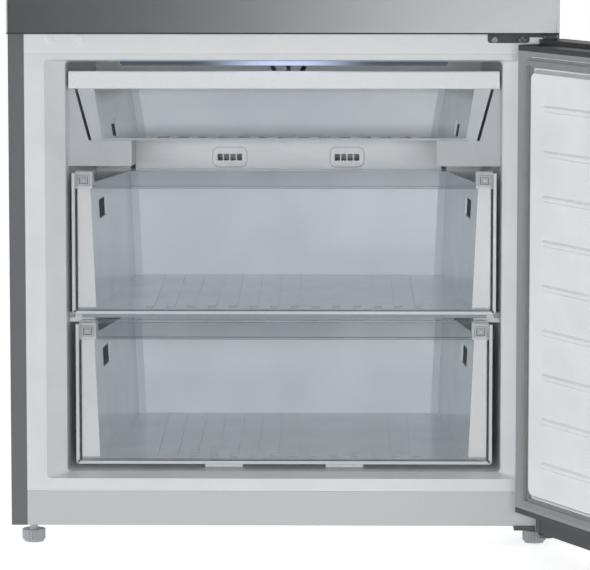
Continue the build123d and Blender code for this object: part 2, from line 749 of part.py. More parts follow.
def door_bushes(door):
    """The two pivot bushes of a door."""
    bore = rod(PIN_RADIUS + RUNNING_CLEAR, door[3] - door[0], (PIVOT_X, PIVOT_Y, door[0]))
    return door_sockets(door) - bore


def door_bump(door, inset):
    """The raised middle of a door's liner, drawn in by inset."""
    low = door[1] + RIM_EDGE + BUMP_INSET + inset
    high = door[2] - RIM_EDGE - BUMP_INSET - inset
    half = RIM_HALF - BUMP_INSET - inset
    foot = front_outline(half, low, high, DOOR_BACK, RIM_RADIUS)
    top_y = LINER_FACE - inset
    taper = BUMP_TAPER
    top = front_outline(half - taper, low + taper, high - taper, top_y, RIM_RADIUS)
    return loft([foot, top], ruled=True)


def door_foam(door, parts):
    """Insulation inside a door, cut by the pieces round it."""
    foam = door_prism(SHEET, door[0], door[3]) - door_notches(door, 0)
    foam += door_window(door) + door_bump(door, LINER_WALL)
    for piece in parts:
        foam -= piece
    return foam


def door_liner(door):
    """A door's moulded liner: a rim for the gasket round a raised middle."""
    low, high = door[1] + RIM_EDGE, door[2] - RIM_EDGE
    rim = extrude(front_outline(RIM_HALF, low, high, DOOR_BACK, RIM_RADIUS), amount=LINER_WALL)
    return rim + door_bump(door, 0) - door_bump(door, LINER_WALL)


def liner_ribs():
    """Level ribs across the freezer door's liner."""
    side, end = RIB_MARGIN
    low = FREEZER_DOOR[1] + RIM_EDGE + BUMP_INSET + end
    high = FREEZER_DOOR[2] - RIM_EDGE - BUMP_INSET - end
    step = (high - low) / (RIB_COUNT - 1)
    length = 2 * (RIM_HALF - BUMP_INSET - side)
    ribs = Part()
    for n in range(RIB_COUNT):
        plane = Plane((0, LINER_FACE, low + n * step), x_dir=(1, 0, 0), z_dir=(0, 1, 0))
        ribs += extrude(plane * Rectangle(length, RIB_WIDTH), amount=RIB_RISE, taper=RIB_TAPER)
    return ribs


def door_dykes():
    """The two upright walls on the upper door's liner that carry its bins."""
    x = (DYKE_HALF - DYKE_WIDTH, DYKE_HALF)
    z = (UPPER_DOOR[1] + RIM_EDGE + DYKE_END, UPPER_DOOR[2] - RIM_EDGE - DYKE_END)
    dyke = block(x, (LINER_FACE, LINER_FACE + DYKE_DEPTH), z)
    edges = dyke.faces().sort_by(Axis.Y)[-1].edges()
    return mirrored(chamfer(edges, DYKE_WIDTH / 3))


def door_gasket(door):
    """The magnetic seal: a wide foot and a narrower lip that meets the frame."""
    low, high = door[1] + RIM_EDGE + BUMP_MARGIN / 2, door[2] - RIM_EDGE - BUMP_MARGIN / 2
    half = RIM_HALF - BUMP_MARGIN / 2
    start = DOOR_BACK + LINER_WALL
    rise = DOOR_GAP - LINER_WALL - SOFT_CLEAR

    def ring(inset, width, y, depth):
        outer = front_outline(half - inset, low + inset, high - inset, y, RIM_RADIUS)
        cut = inset + width
        inner = front_outline(half - cut, low + cut, high - cut, y, RIM_RADIUS / 2)
        return extrude(outer - inner, amount=depth)

    lip_width = GASKET_WIDTH - 2 * GASKET_LIP
    return ring(0, GASKET_WIDTH, start, rise / 2) + ring(GASKET_LIP, lip_width, start + rise / 2, rise / 2)


def door_bins():
    """Open bins between the upper door's dykes."""
    half = DYKE_HALF - DYKE_WIDTH
    bins = Part()
    for n in range(BIN_COUNT):
        level = UPPER_DOOR[1] + BIN_LOW + n * BIN_PITCH
        y = (LINER_FACE, LINER_FACE + BIN_DEPTH)
        body = block(both(half), y, (level, level + BIN_HEIGHT))
        inner_y = (y[0] + BIN_WALL, y[1] - BIN_WALL)
        body -= block(both(half - BIN_WALL), inner_y, (level + BIN_WALL, level + BIN_HEIGHT))
        bins += body
    return bins


def swing(shape):
    """The freezer door's pieces, turned open about their pivot."""
    return Pos(PIVOT_X, PIVOT_Y, 0) * Rot(0, 0, FREEZER_DOOR_ANGLE) * Pos(-PIVOT_X, -PIVOT_Y, 0) * shape


def tub_face(half, flare, height, y, low, inset):
    """A tub's section at depth y, wider towards its top, from low up to its height."""
    slope = flare / height
    foot = half + slope * low - inset
    head = half + flare - inset
    plane = Plane((0, y, 0), x_dir=(1, 0, 0), z_dir=(0, -1, 0))
    points = ((-foot, low), (foot, low), (head, height), (-head, height))
    return plane * make_face(Polyline(*points, close=True))


def tub_space(half, flare, taper, height, wall):
    """A tub's body (wall 0) or its hollow: tapered walls with the back corners cut off."""
    back = TUB_DEPTH - wall
    corner = TUB_DEPTH - TUB_CORNER
    corner_half = half - taper * corner / TUB_DEPTH
    front_face = tub_face(half, flare, height, 0, wall, wall)
    corner_face = tub_face(corner_half, flare, height, corner, wall, wall)
    back_face = tub_face(corner_half - TUB_CORNER + wall, flare, height, back, wall, wall)
    return loft([front_face, corner_face, back_face], ruled=True)


def tub(half, flare, taper, height, rim_drop, collar, holes):
    """A drawer's tub, open to the front and top: tapered walls, a front collar and a ribbed floor."""
    collar_foot, collar_head, drop = collar
    outline = ((-collar_foot, -drop), (collar_foot, -drop), (collar_head, height), (-collar_head, height))
    plane = Plane((0, 0, 0), x_dir=(1, 0, 0), z_dir=(0, -1, 0))
    rim = extrude(plane * make_face(Polyline(*outline, close=True)), amount=-TUB_WALL)
    shape = tub_space(half, flare, taper, height, 0) + rim
    shape -= tub_space(half, flare, taper, height, TUB_WALL)
    if drop:
        shape -= block(both(half), (0, TUB_WALL), (-drop, 0))
    near, far = (height - fall for fall in rim_drop)
    wedge = ((TUB_RIM_FLAT, height), (TUB_RIM_FLAT, near), (TUB_DEPTH, far), (TUB_DEPTH, height))
    shape -= side_prism(wedge, half + flare)
    for hole_y, hole_z in holes:
        shape -= block(both(half + flare), hole_y, hole_z)
    rib_width, rise = FLOOR_RIB
    rib_y = (FLOOR_RIB_END, TUB_DEPTH - FLOOR_RIB_END)
    pitch = 2 * (half - taper - TUB_WALL - FLOOR_RIB_SIDE) / (FLOOR_RIB_COUNT - 1)
    for n in range(FLOOR_RIB_COUNT):
        x = (n - (FLOOR_RIB_COUNT - 1) / 2) * pitch
        shape += block((x - rib_width / 2, x + rib_width / 2), rib_y, (TUB_WALL, TUB_WALL + rise))
    return shape


def deep_tub(narrower):
    """The tub of the middle or bottom drawer."""
    wide, tall = HAND_HOLE
    middle = TUB_HEIGHT - HAND_HOLE_DROP
    hole_y = (HAND_HOLE_FROM_FRONT, HAND_HOLE_FROM_FRONT + wide)
    hole_z = (middle - tall / 2, middle + tall / 2)
    return tub(
        TUB_HALF - narrower,
        TUB_FLARE,
        TUB_TAPER,
        TUB_HEIGHT,
        TUB_RIM_DROP,
        (COLLAR_HALF - narrower, COLLAR_HALF - narrower, 0),
        ((hole_y, hole_z),),
    )


def deep_pane(narrower):
    """The clear front of a deep drawer: a shallow pan with a set-back finger band along its top."""
    half = PANE_HALF - narrower
    pan = extrude(front_outline(half, 0, PANE_HEIGHT, -PANE_DEPTH, PANE_RADIUS), amount=PANE_DEPTH)
    band_low = PANE_HEIGHT - PANE_WALL - PANE_BAND
    inside = both(half - PANE_WALL)
    pan -= block(inside, (PANE_WALL - PANE_DEPTH, 0), (PANE_WALL, band_low))
    band_y = PANE_BAND_SET - PANE_DEPTH
    pan -= block(inside, (band_y + PANE_WALL, 0), (band_low, PANE_HEIGHT - PANE_WALL))
    front_band = both(half - PANE_BAND_SIDE)
    return pan - block(front_band, (-PANE_DEPTH, band_y), (band_low + PANE_WALL, PANE_HEIGHT - PANE_WALL))


def top_pose(shape):
    """The top drawer's pieces, tipped back along their runners."""
    return Pos(0, DRAWER_FACE, TOP_DRAWER_LOW) * Rot(-TOP_DRAWER_TILT, 0, 0) * shape


def top_tub():
    """The shallow top drawer's tub: a sloping collar and stepped hand holes in its sides."""
    wide, tall = TOP_HOLE
    step_wide, step_tall = TOP_HOLE_STEP
    back = TOP_HOLE_FROM_FRONT + wide
    step_low = TOP_HOLE_LOW + tall
    holes = (
        ((TOP_HOLE_FROM_FRONT, back), (TOP_HOLE_LOW, step_low)),
        ((back - step_wide, back), (step_low, step_low + step_tall)),
    )
    return tub(
        TOP_TUB_HALF,
        TOP_TUB_FLARE,
        TOP_TUB_TAPER,
        TOP_TUB_HEIGHT,
        TOP_RIM_DROP,
        (*TOP_COLLAR, TOP_COLLAR_DROP),
        holes,
    )


def top_pane():
    """The clear sheet that closes the top drawer below its bar."""
    outline = tub_face(TOP_TUB_HALF, TOP_TUB_FLARE, TOP_TUB_HEIGHT, 0, 0, PANE_WALL)
    sheet = extrude(outline, amount=PANE_WALL)
    return sheet - block(both(HALF), (-PANE_WALL, 0), (BAR_LOW, TOP_TUB_HEIGHT))


def top_bar():
    """The white handle bar along the top drawer's front, a channel open to the back."""
    z = (BAR_LOW, BAR_LOW + BAR_HEIGHT)
    bar = block(both(BAR_HALF), (-BAR_DEPTH, 0), z)
    bar = fillet(bar.edges().filter_by(Axis.X).group_by(Axis.Y)[0], BAR_RADIUS)
    inner_z = (z[0] + BAR_WALL, z[1] - BAR_WALL)
    return bar - block(both(BAR_HALF - BAR_WALL), (BAR_WALL - BAR_DEPTH, 0), inner_z)


def runner_section(y, ledge, shift):
    """A runner's section at depth y: a ledge under the tub and a tall guide beside its collar."""
    foot, head = TOP_COLLAR
    slope = (head - foot) / (TOP_TUB_HEIGHT + TOP_COLLAR_DROP)
    guide = foot + slope * TOP_COLLAR_DROP + RUNNER_GUIDE_GAP - shift
    points = (
        (ledge, -RUNNER_HEIGHT),
        (ledge, 0),
        (guide, 0),
        (guide + slope * RUNNER_GUIDE, RUNNER_GUIDE),
        (HALF, RUNNER_GUIDE),
        (HALF, -RUNNER_HEIGHT),
    )
    plane = Plane((0, y, -DRAWER_CLEAR), x_dir=(1, 0, 0), z_dir=(0, -1, 0))
    return plane * make_face(Polyline(*points, close=True))


def drawer_runners():
    """Inclined runners on the freezer's side walls, which close in with the tub."""
    front = runner_section(TUB_WALL + DRAWER_CLEAR, RUNNER_LEDGE[0], 0)
    back = runner_section(TUB_DEPTH, RUNNER_LEDGE[1], TOP_TUB_TAPER)
    runner = loft([front, back], ruled=True)
    return top_pose(mirrored(runner)) & freezer_space(0)


def shelf_places():
    """Each glass shelf's half width, front edge, depth and underside."""
    places = [(GLASS_HALF, DRAWER_FACE, TUB_DEPTH, SHELF_LOW + SHELF_TRIM_WALL)]
    for level in SHELF_LEVELS:
        places.append((FRIDGE_GLASS_HALF, FRIDGE_SHELF_Y, SHELF_DEPTH, level))
    return places


def shelf_glass():
    """The glass panes of the freezer's and the fresh-food compartment's shelves."""
    panes = Part()
    for half, front, depth, low in shelf_places():
        y = (front + SHELF_TRIM_WALL, front + depth)
        panes += block(both(half - SHELF_TRIM_WALL), y, (low, low + SHELF_GLASS))
    return panes


def shelf_trims():
    """The moulded strip along each pane's front edge."""
    tall, deep = SHELF_TRIM
    trims = Part()
    for half, front, _, low in shelf_places():
        foot = low - SHELF_TRIM_WALL
        strip = block(both(half), (front, front + deep), (foot, foot + tall))
        slot_y = (front + SHELF_TRIM_WALL, front + deep)
        trims += strip - block(both(half - SHELF_TRIM_WALL), slot_y, (low, low + SHELF_GLASS))
    return trims


def evaporator_cover():
    """The freezer's back panel: a raised middle between slots, hooded vents and a fan grille."""
    plate = block(both(HALF), (COVER_FACE, COVER_BACK), (0, FREEZER_CEILING)) & freezer_space(0)
    pad_y = (COVER_FACE - COVER_PAD_RISE, COVER_FACE)
    plate += block(both(COVER_PAD_HALF), pad_y, (STEP_ROOF, FREEZER_CEILING))
    slot_x = (COVER_PAD_HALF, COVER_PAD_HALF + COVER_SLOT)
    plate -= mirrored(block(slot_x, (COVER_FACE, COVER_BACK), (STEP_ROOF + COVER_SLOT, FAN_Z)))
    width, tall, rise = VENT_HOOD
    face = COVER_FACE - COVER_PAD_RISE
    for x in (-VENT_X, VENT_X):
        plane = Plane((x, face, VENT_Z), x_dir=(1, 0, 0), z_dir=(0, -1, 0))
        plate += extrude(plane * RectangleRounded(width, tall, tall / 3), amount=rise, taper=RIB_TAPER)
        hole_wide, hole_tall = VENT_HOLE
        for n in range(VENT_COUNT):
            at = x + (n - (VENT_COUNT - 1) / 2) * VENT_PITCH
            hole_x = (at - hole_wide / 2, at + hole_wide / 2)
            hole_z = (VENT_Z - hole_tall / 2, VENT_Z + hole_tall / 2)
            plate -= block(hole_x, (face - rise, COVER_BACK), hole_z)
    centre = Pos(0, 0, FAN_Z)
    ray = block((FAN_HUB + GRILLE_SLOT, FAN_RADIUS), (face, COVER_BACK), both(GRILLE_SLOT / 2))
    for n in range(GRILLE_COUNT):
        plate -= centre * Rot(0, n * 360 / GRILLE_COUNT, 0) * ray
    return plate


def coil_place():
    """The coil's middle depth and its foot on the step over the machine room."""
    return COVER_BACK + COIL_FROM_COVER + COIL_DEPTH / 2, STEP_ROOF


def evaporator_coil():
    """A row of fins on a tube that runs back and forth, standing on its two end plates."""
    y, foot = coil_place()
    fin_y = (y - COIL_DEPTH / 2, y + COIL_DEPTH / 2)
    pitch = 2 * COIL_HALF / (COIL_FINS - 1)
    lift = COIL_HEIGHT / (COIL_PASSES + 1)
    coil = Part()
    for n in range(COIL_FINS):
        x = n * pitch - COIL_HALF
        end = n in (0, COIL_FINS - 1)
        low = foot if end else foot + lift / 2
        coil += block((x - COIL_FIN, x + COIL_FIN), fin_y, (low, foot + COIL_HEIGHT))
    reach = COIL_HALF + lift / 2
    points = []
    for n in range(COIL_PASSES):
        side = 1 if n % 2 else -1
        z = foot + (n + 1) * lift
        points += [(side * reach, y, z), (-side * reach, y, z)]
    section = Plane(points[0], z_dir=(1, 0, 0)) * RegularPolygon(COIL_TUBE, COIL_SIDES)
    return coil + sweep(section, path=Polyline(*points), transition=Transition.RIGHT)


def fan_y():
    """The near faces of the fan, its motor and the motor's frame."""
    near = COVER_BACK + FAN_GAP
    motor = near + FAN_WIDTH + MOTOR_POST
    return near, motor, motor + MOTOR_LENGTH


def evaporator_fan():
    """A hub with pitched blades, bored for the motor's shaft."""
    near, _, _ = fan_y()
    hub = rod(FAN_HUB, FAN_WIDTH, (0, near, 0), Axis.Y)
    envelope = rod(FAN_RADIUS, FAN_WIDTH, (0, near, 0), Axis.Y)
    middle = Pos(0, near + FAN_WIDTH / 2, 0)
    blade = Rot(FAN_PITCH, 0, 0) * block((FAN_HUB / 2, FAN_RADIUS), both(FAN_WIDTH), both(FAN_BLADE / 2))
    for n in range(FAN_BLADES):
        hub += (Rot(0, n * 360 / FAN_BLADES, 0) * middle * blade) & envelope
    bore = rod(SHAFT_RADIUS + RUNNING_CLEAR, FAN_WIDTH, (0, near, 0), Axis.Y)
    return Pos(0, 0, FAN_Z) * (hub - bore)


def fan_motor():
    """The motor with its shaft, held off the cover by a cross on four posts."""
    near, motor, frame = fan_y()
    can = rod(MOTOR_RADIUS, MOTOR_LENGTH, (0, motor, 0), Axis.Y, MOTOR_SIDES)
    ends = can.edges().group_by(Axis.Y)
    can = chamfer(ends[0] + ends[-1], MOTOR_POST / 2)
    can += rod(SHAFT_RADIUS, motor - near, (0, near, 0), Axis.Y)
    reach = FAN_RADIUS + FAN_RING_GAP
    bar = block(both(reach), (frame, frame + MOTOR_POST), both(MOTOR_POST))
    post_length = frame - COVER_BACK
    for n in range(4):
        turn = Rot(0, 45 + n * 90, 0)
        can += turn * bar
        foot = (reach - MOTOR_POST, COVER_BACK, 0)
        can += turn * rod(MOTOR_POST, post_length, foot, Axis.Y, POST_SIDES)
    return Pos(0, 0, FAN_Z) * can


def compressor_y():
    """The depth of the compressor's middle."""
    return (MACHINE_FRONT + BACK) / 2


def compressor():
    """The sealed pot on its foot plate, with a terminal box at its side."""
    foot = BASE_TOP + GROMMET_HEIGHT
    y = compressor_y()
    pot = rod(COMPRESSOR_RADIUS, COMPRESSOR_HEIGHT, (COMPRESSOR_X, y, foot), Axis.Z, COMPRESSOR_SIDES)
    ends = pot.edges().group_by(Axis.Z)
    pot = chamfer(ends[0] + ends[-1], COMPRESSOR_DOME)
    reach_x, reach_y = (spot + GROMMET_RADIUS for spot in COMPRESSOR_FEET)
    plate_x = (COMPRESSOR_X - reach_x, COMPRESSOR_X + reach_x)
    pot += block(plate_x, (y - reach_y, y + reach_y), (foot, foot + COMPRESSOR_PLATE))
    box_x = (COMPRESSOR_X + COMPRESSOR_RADIUS / 2, COMPRESSOR_X + COMPRESSOR_RADIUS + COMPRESSOR_DOME)
    box_z = (foot + COMPRESSOR_HEIGHT / 3, foot + COMPRESSOR_HEIGHT * 2 / 3)
    return pot + block(box_x, (y - COMPRESSOR_DOME, y + COMPRESSOR_DOME), box_z)


def compressor_grommets():
    """Rubber feet between the compressor's plate and the floor sheet."""
    reach_x, reach_y = COMPRESSOR_FEET
    feet = Part()
    for x in (-reach_x, reach_x):
        for y in (-reach_y, reach_y):
            spot = (COMPRESSOR_X + x, compressor_y() + y, BASE_TOP)
            feet += rod(GROMMET_RADIUS, GROMMET_HEIGHT, spot, Axis.Z, GROMMET_SIDES)
    return feet


def drip_tray():
    """The evaporation tray on top of the compressor."""
    wide, deep, tall = TRAY_SIZE
    low = BASE_TOP + GROMMET_HEIGHT + COMPRESSOR_HEIGHT
    y = compressor_y()
    x_span = (COMPRESSOR_X - wide / 2, COMPRESSOR_X + wide / 2)
    tray = block(x_span, (y - deep / 2, y + deep / 2), (low, low + tall))
    tray = chamfer(tray.edges().filter_by(Axis.Z), GRIP_RADIUS)
    inner_x = (x_span[0] + TUB_WALL, x_span[1] - TUB_WALL)
    inner_y = (y - deep / 2 + TUB_WALL, y + deep / 2 - TUB_WALL)
    return tray - block(inner_x, inner_y, (low + TUB_WALL, low + tall))


def machine_room_cover():
    """The sheet over the machine room's back, with two columns of louvres."""
    cover = block(both(HALF - SHEET), (BACK - SHEET, BACK), (FLOOR_GAP, MACHINE_ROOF))
    wide, tall = LOUVRE
    middle = (FLOOR_GAP + MACHINE_ROOF) / 2
    for n in range(LOUVRE_COUNT):
        z = middle + (n - (LOUVRE_COUNT - 1) / 2) * LOUVRE_PITCH
        slot = block((wide / 2, wide * 3 / 2), (BACK - SHEET, BACK), (z - tall / 2, z + tall / 2))
        cover -= mirrored(slot)
    return cover


def fridge_duct_cover():
    """The air duct up the fresh-food compartment's back, with its outlets."""
    low, high = FRIDGE_FLOOR + DUCT_END, FRIDGE_CEILING - DUCT_END
    y = LINER_BACK - DUCT_RISE
    duct = extrude(front_outline(DUCT_HALF, low, high, y, LINER_RADIUS), amount=DUCT_RISE)
    inner = front_outline(DUCT_HALF - TUB_WALL, low + TUB_WALL, high - TUB_WALL, y + TUB_WALL, LINER_RADIUS)
    duct -= extrude(inner, amount=DUCT_RISE - TUB_WALL)
    wide, tall = DUCT_SLOT
    for n in range(DUCT_COUNT):
        z = (low + high) / 2 + (n - (DUCT_COUNT - 1) / 2) * DUCT_PITCH
        slot_x = (DUCT_HALF / 2 - wide / 2, DUCT_HALF / 2 + wide / 2)
        duct -= mirrored(block(slot_x, (y, y + TUB_WALL), (z - tall / 2, z + tall / 2)))
    return duct


def lamp_covers():
    """A clear lamp cover on the ceiling of each compartment."""
    wide, deep, drop = LAMP_SIZE
    lamps = Part()
    for ceiling in (FREEZER_CEILING, FRIDGE_CEILING):
        y = FRONT + LAMP_FROM_FRONT
        lamp = block(both(wide / 2), (y, y + deep), (ceiling - drop, ceiling))
        lamps += chamfer(lamp.edges().group_by(Axis.Z)[0], drop / 3)
    return lamps


def crispers():
    """Two vegetable drawers side by side on the fresh-food floor."""
    half = FRIDGE_GLASS_HALF - SHELF_SIDE_GAP
    x = (CRISPER_GAP / 2, half)
    y = (FRIDGE_SHELF_Y, FRIDGE_SHELF_Y + CRISPER_DEPTH)
    z = (FRIDGE_FLOOR, FRIDGE_FLOOR + CRISPER_HEIGHT)
    box = chamfer(block(x, y, z).edges().filter_by(Axis.Z), LINER_RADIUS)
    wall = CRISPER_WALL
    inner = block((x[0] + wall, x[1] - wall), (y[0] + wall, y[1] - wall), (z[0] + wall, z[1]))
    return mirrored(box - chamfer(inner.edges().filter_by(Axis.Z), LINER_RADIUS - wall))


def foot(place):
    """A levelling foot: a fluted disc on a pad, under its stem."""
    x, y = place
    pad_radius, pad = FOOT_PAD
    points = []
    for n in range(3 * FOOT_FLUTES):
        turn = n * 2 * pi / (3 * FOOT_FLUTES)
        reach = FOOT_RADIUS - (FOOT_FLUTE if n % 3 == 0 else 0)
        points.append((reach * cos(turn), reach * sin(turn)))
    fluted = Pos(0, 0, pad) * make_face(Polyline(*points, close=True))
    shape = rod(pad_radius, pad, (0, 0, 0), Axis.Z, FOOT_FLUTES) + extrude(fluted, amount=FOOT_DISC)
    shape += rod(STEM_RADIUS, STEM_LENGTH, (0, 0, pad + FOOT_DISC))
    return Pos(x, y, 0) * shape


def roller(x):
    """A rear roller, bored for its axle."""
    start = (x - ROLLER_WIDTH / 2, BACK - ROLLER_FROM_BACK, ROLLER_RADIUS)
    bore = rod(AXLE_RADIUS + RUNNING_CLEAR, ROLLER_WIDTH, start, Axis.X)
    return rod(ROLLER_RADIUS, ROLLER_WIDTH, start, Axis.X) - bore


def roller_axles():
    """The rollers' axles, held in the cheeks."""
    reach = ROLLER_WIDTH / 2 + CHEEK_GAP + CHEEK
    y = BACK - ROLLER_FROM_BACK
    axles = Part()
    for x in (-ROLLER_X, ROLLER_X):
        axles += rod(AXLE_RADIUS, 2 * reach, (x - reach, y, ROLLER_RADIUS), Axis.X)
    return axles


def door_pieces(name, door, grip_low):
    """The pieces that both doors share, in their closed place."""
    skin = door_skin(door, grip_low)
    foot_cap = door_cap(door, 1, skin)
    head_cap = door_cap(door, -1, skin)
    bushes = door_bushes(door)
    core = door_foam(door, (foot_cap, head_cap, door_sockets(door), grip_body(grip_low, 0)))
    return {
        f"{name}_skin": skin,
        f"{name}_bottom_cap": foot_cap,
        f"{name}_top_cap": head_cap,
        f"{name}_bushes": bushes,
        f"{name}_foam": core,
        f"{name}_liner": door_liner(door),
        f"{name}_gasket": door_gasket(door),
        f"{name}_grip": door_grip(grip_low),
    }


def cabinet_nodes():
    """The cabinet and what is fixed in it."""
    return {
        "outer_wrap": outer_wrap(),
        "rear_panel": rear_panel(),
        "base_plate": base_plate(),
        "machine_bulkhead": machine_bulkhead(),
        "cabinet_foam": cabinet_foam(),
        "freezer_liner": freezer_liner(),
        "fridge_liner": fridge_liner(),
        "mullion_trim": trim_strip(MULLION_LOW, MULLION_HIGH),
        "plinth_strip": trim_strip(FLOOR_GAP, PLINTH_TOP),
        "hinge_hole_plugs": hinge_hole_plugs(),
        "middle_hinge": middle_hinge(),
        "bottom_hinge": bottom_hinge(),
        "top_hinge": top_hinge(),
        "hinge_screws": hinge_screws(),
        "top_hinge_cover": top_hinge_cover(),
        "evaporator_cover": evaporator_cover(),
        "evaporator_coil": evaporator_coil(),
        "fan_motor": fan_motor(),
        "compressor": compressor(),
        "compressor_grommets": compressor_grommets(),
        "drip_tray": drip_tray(),
        "machine_room_cover": machine_room_cover(),
        "fridge_duct_cover": fridge_duct_cover(),
        "drawer_runners": drawer_runners(),
        "shelf_glass": shelf_glass(),
        "shelf_trims": shelf_trims(),
        "lamp_covers": lamp_covers(),
        "crispers": crispers(),
        "roller_axles": roller_axles(),
    }


def moving_nodes():
    """The doors, drawers, fan, feet and rollers."""
    nodes = door_pieces("upper_door", UPPER_DOOR, UPPER_DOOR_LOW + GRIP_FROM_END)
    nodes["upper_door_liner"] += door_dykes()
    nodes["upper_door_bins"] = door_bins()
    grip_low = FREEZER_DOOR_HIGH - GRIP_FROM_END - GRIP_LENGTH
    freezer = door_pieces("freezer_door", FREEZER_DOOR, grip_low)
    freezer["freezer_door_liner"] += liner_ribs()
    for name, shape in freezer.items():
        nodes[name] = swing(shape)
    nodes["top_drawer_tub"] = top_pose(top_tub())
    nodes["top_drawer_front"] = top_pose(top_pane())
    nodes["top_drawer_bar"] = top_pose(top_bar())
    lows = {"middle_drawer": MIDDLE_DRAWER_LOW, "bottom_drawer": BOTTOM_DRAWER_LOW}
    for name, low in lows.items():
        narrower = BOTTOM_DRAWER_NARROWER if name == "bottom_drawer" else 0
        place = Pos(0, DRAWER_FACE, low)
        nodes[f"{name}_tub"] = place * deep_tub(narrower)
        nodes[f"{name}_front"] = place * deep_pane(narrower)
    nodes["evaporator_fan"] = evaporator_fan()
    for side, place in zip(("left", "right"), foot_places()):
        nodes[f"{side}_foot"] = foot(place)
    for side, x in (("left", -ROLLER_X), ("right", ROLLER_X)):
        nodes[f"{side}_roller"] = roller(x)
    return nodes


os.makedirs("parts", exist_ok=True)
for node, shape in {**cabinet_nodes(), **moving_nodes()}.items():
    export_step(shape, f"parts/{node}.step")
print("freezer door pivot", PIVOT_X, PIVOT_Y)
print("top drawer slides along", 0, -cos(radians(TOP_DRAWER_TILT)), sin(radians(TOP_DRAWER_TILT)))
print("fan axis", FAN_Z, "feet", foot_places(), "roller axle", BACK - ROLLER_FROM_BACK, ROLLER_RADIUS)
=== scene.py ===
"""Finishes and stages a refrigerator with its freezer drawers on show."""
import math

import bpy
from bpy.props import FloatProperty, FloatVectorProperty, PointerProperty
from mathutils import Matrix, Vector


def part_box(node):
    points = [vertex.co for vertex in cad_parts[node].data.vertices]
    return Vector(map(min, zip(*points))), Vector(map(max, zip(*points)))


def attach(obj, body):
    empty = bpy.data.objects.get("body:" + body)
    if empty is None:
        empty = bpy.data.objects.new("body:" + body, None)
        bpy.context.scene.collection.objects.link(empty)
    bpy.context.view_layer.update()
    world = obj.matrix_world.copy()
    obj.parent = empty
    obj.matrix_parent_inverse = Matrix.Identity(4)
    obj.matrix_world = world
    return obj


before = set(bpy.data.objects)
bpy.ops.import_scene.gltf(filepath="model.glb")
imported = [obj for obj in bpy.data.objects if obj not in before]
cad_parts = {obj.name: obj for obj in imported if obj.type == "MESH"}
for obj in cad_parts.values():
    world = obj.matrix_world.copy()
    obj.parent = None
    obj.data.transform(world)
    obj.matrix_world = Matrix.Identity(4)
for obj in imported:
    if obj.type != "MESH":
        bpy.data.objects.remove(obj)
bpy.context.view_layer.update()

bl_info = {
    "name": "Refrigerator finishes",
    "version": (1, 0, 0),
    "blender": (4, 5, 0),
    "location": "View3D > Sidebar > Refrigerator",
    "description": "Gives a refrigerator its finishes, seals, lights and camera",
    "category": "Object",
}

MM = 0.001

# The finger band along a deep drawer's front: its height, the wall above it and its thick ends
BAND_HEIGHT = 22 * MM
BAND_EDGE = 3 * MM
BAND_END = 22 * MM

# A deep drawer's front latch: its block, how far it stands out, and its recess and tongue as rim and push
CLIP_SIZE = (16 * MM, 3 * MM, 14 * MM)
CLIP_PROUD = 0.8 * MM
CLIP_EDGE = 0.8 * MM
CLIP_STEPS = ((1.4 * MM, 1.6 * MM), (1.2 * MM, -1.2 * MM))
CLIP_DRAFT = 0.78

# The freezer shelf trim's end caps: depth and height, rounding, and the sunk panel's rim and depth
TRIM_END = (11.7 * MM, 7.7 * MM)
TRIM_END_EDGE = 0.8 * MM
TRIM_END_RIM = 1.2 * MM
TRIM_END_SINK = 0.6 * MM

# How far back the tubs' front edges lie, and the height under which they are the floor's own edges; they
# pick the forward faces that get the collar colour and the painted shade
TUB_NEAR = -225 * MM
TUB_FLOOR = {"top_drawer": 521.5 * MM, "middle_drawer": 300.6 * MM, "bottom_drawer": 104.4 * MM}

# How much paler each tub is painted than the drawers' colour, as painted light, and how dark the top collar
# and the floors' edges are painted, as painted shade
TUB_PAINTED_LIGHT = {"top_drawer": 1.16, "middle_drawer": 1.0, "bottom_drawer": 1.06}
TOP_COLLAR_PAINTED_SHADE = 0.68
FLOOR_EDGE_PAINTED_SHADE = 0.55

# Hand holes: middle (in from the tub's side, back from its front, down from its top), the wall's
# two slopes and the hole's length and height
HAND_HOLES = {
    "top_drawer": ((39.9, 131.5, 70.9), (0.0745, -0.160), (50.0, 22.0)),
    "middle_drawer": ((23.9, 97.0, 54.0), (0.0824, -0.0444), (62.0, 25.0)),
    "bottom_drawer": ((23.9, 97.0, 54.0), (0.0824, -0.0444), (62.0, 25.0)),
}
CUP_DEPTH = {"top_drawer": 7 * MM, "middle_drawer": 9 * MM, "bottom_drawer": 9 * MM}

# Left and right, with the sign of X
SIDES = (("left", -1), ("right", 1))
DEEP_DRAWERS = ("middle_drawer", "bottom_drawer")

# A direction, and turns of a piece
FORWARD = (0.0, -1.0, 0.0)
NO_TURN = (0.0, 0.0, 0.0)
UPRIGHT = (math.pi / 2, 0.0, 0.0)

# How squarely a face has to look a way to be a door's folded border or a tub's front edge
BORDER_FACING = 0.7
FRONT_FACING = 0.9

# How much a clear front hides what is behind it, face on and along its edge
FRONT_COVER = (0.03, 0.75)

# Ways in which the doors' backs face at rest, with the freezer door open
FREEZER_OPEN = math.radians(117)
DOOR_INWARD = {
    "upper_door": (0.0, 1.0, 0.0),
    "freezer_door": (-math.sin(FREEZER_OPEN), math.cos(FREEZER_OPEN), 0.0),
}

FOAM_COLOUR = "E6D9B4"

# How far a cabinet lamp's glow reaches from its middle
LAMP_REACH = 130 * MM

# The studio floor: its size, how far it lies under the feet and how much white it adds
FLOOR_SIZE = 30.0
FLOOR_DROP = 0.5 * MM
FLOOR_GLOW = 0.7

# The studio lamps, each as place, aim and size
KEY_LAMP = ((0.0, -4.6, 0.8), (0.0, -0.3, 0.4), (1.6, 0.35))
SIDE_LAMP = ((-3.4, -0.42, 0.6), (0.5, -0.7, 0.35), (0.3, 0.3))

# The studio's grey card: its size, its place and the length of its foot
FLAG_SIZE = 6.0
FLAG_PLACE = (-2.93, -5.3, 3.01)
FLAG_FOOT = 4.2


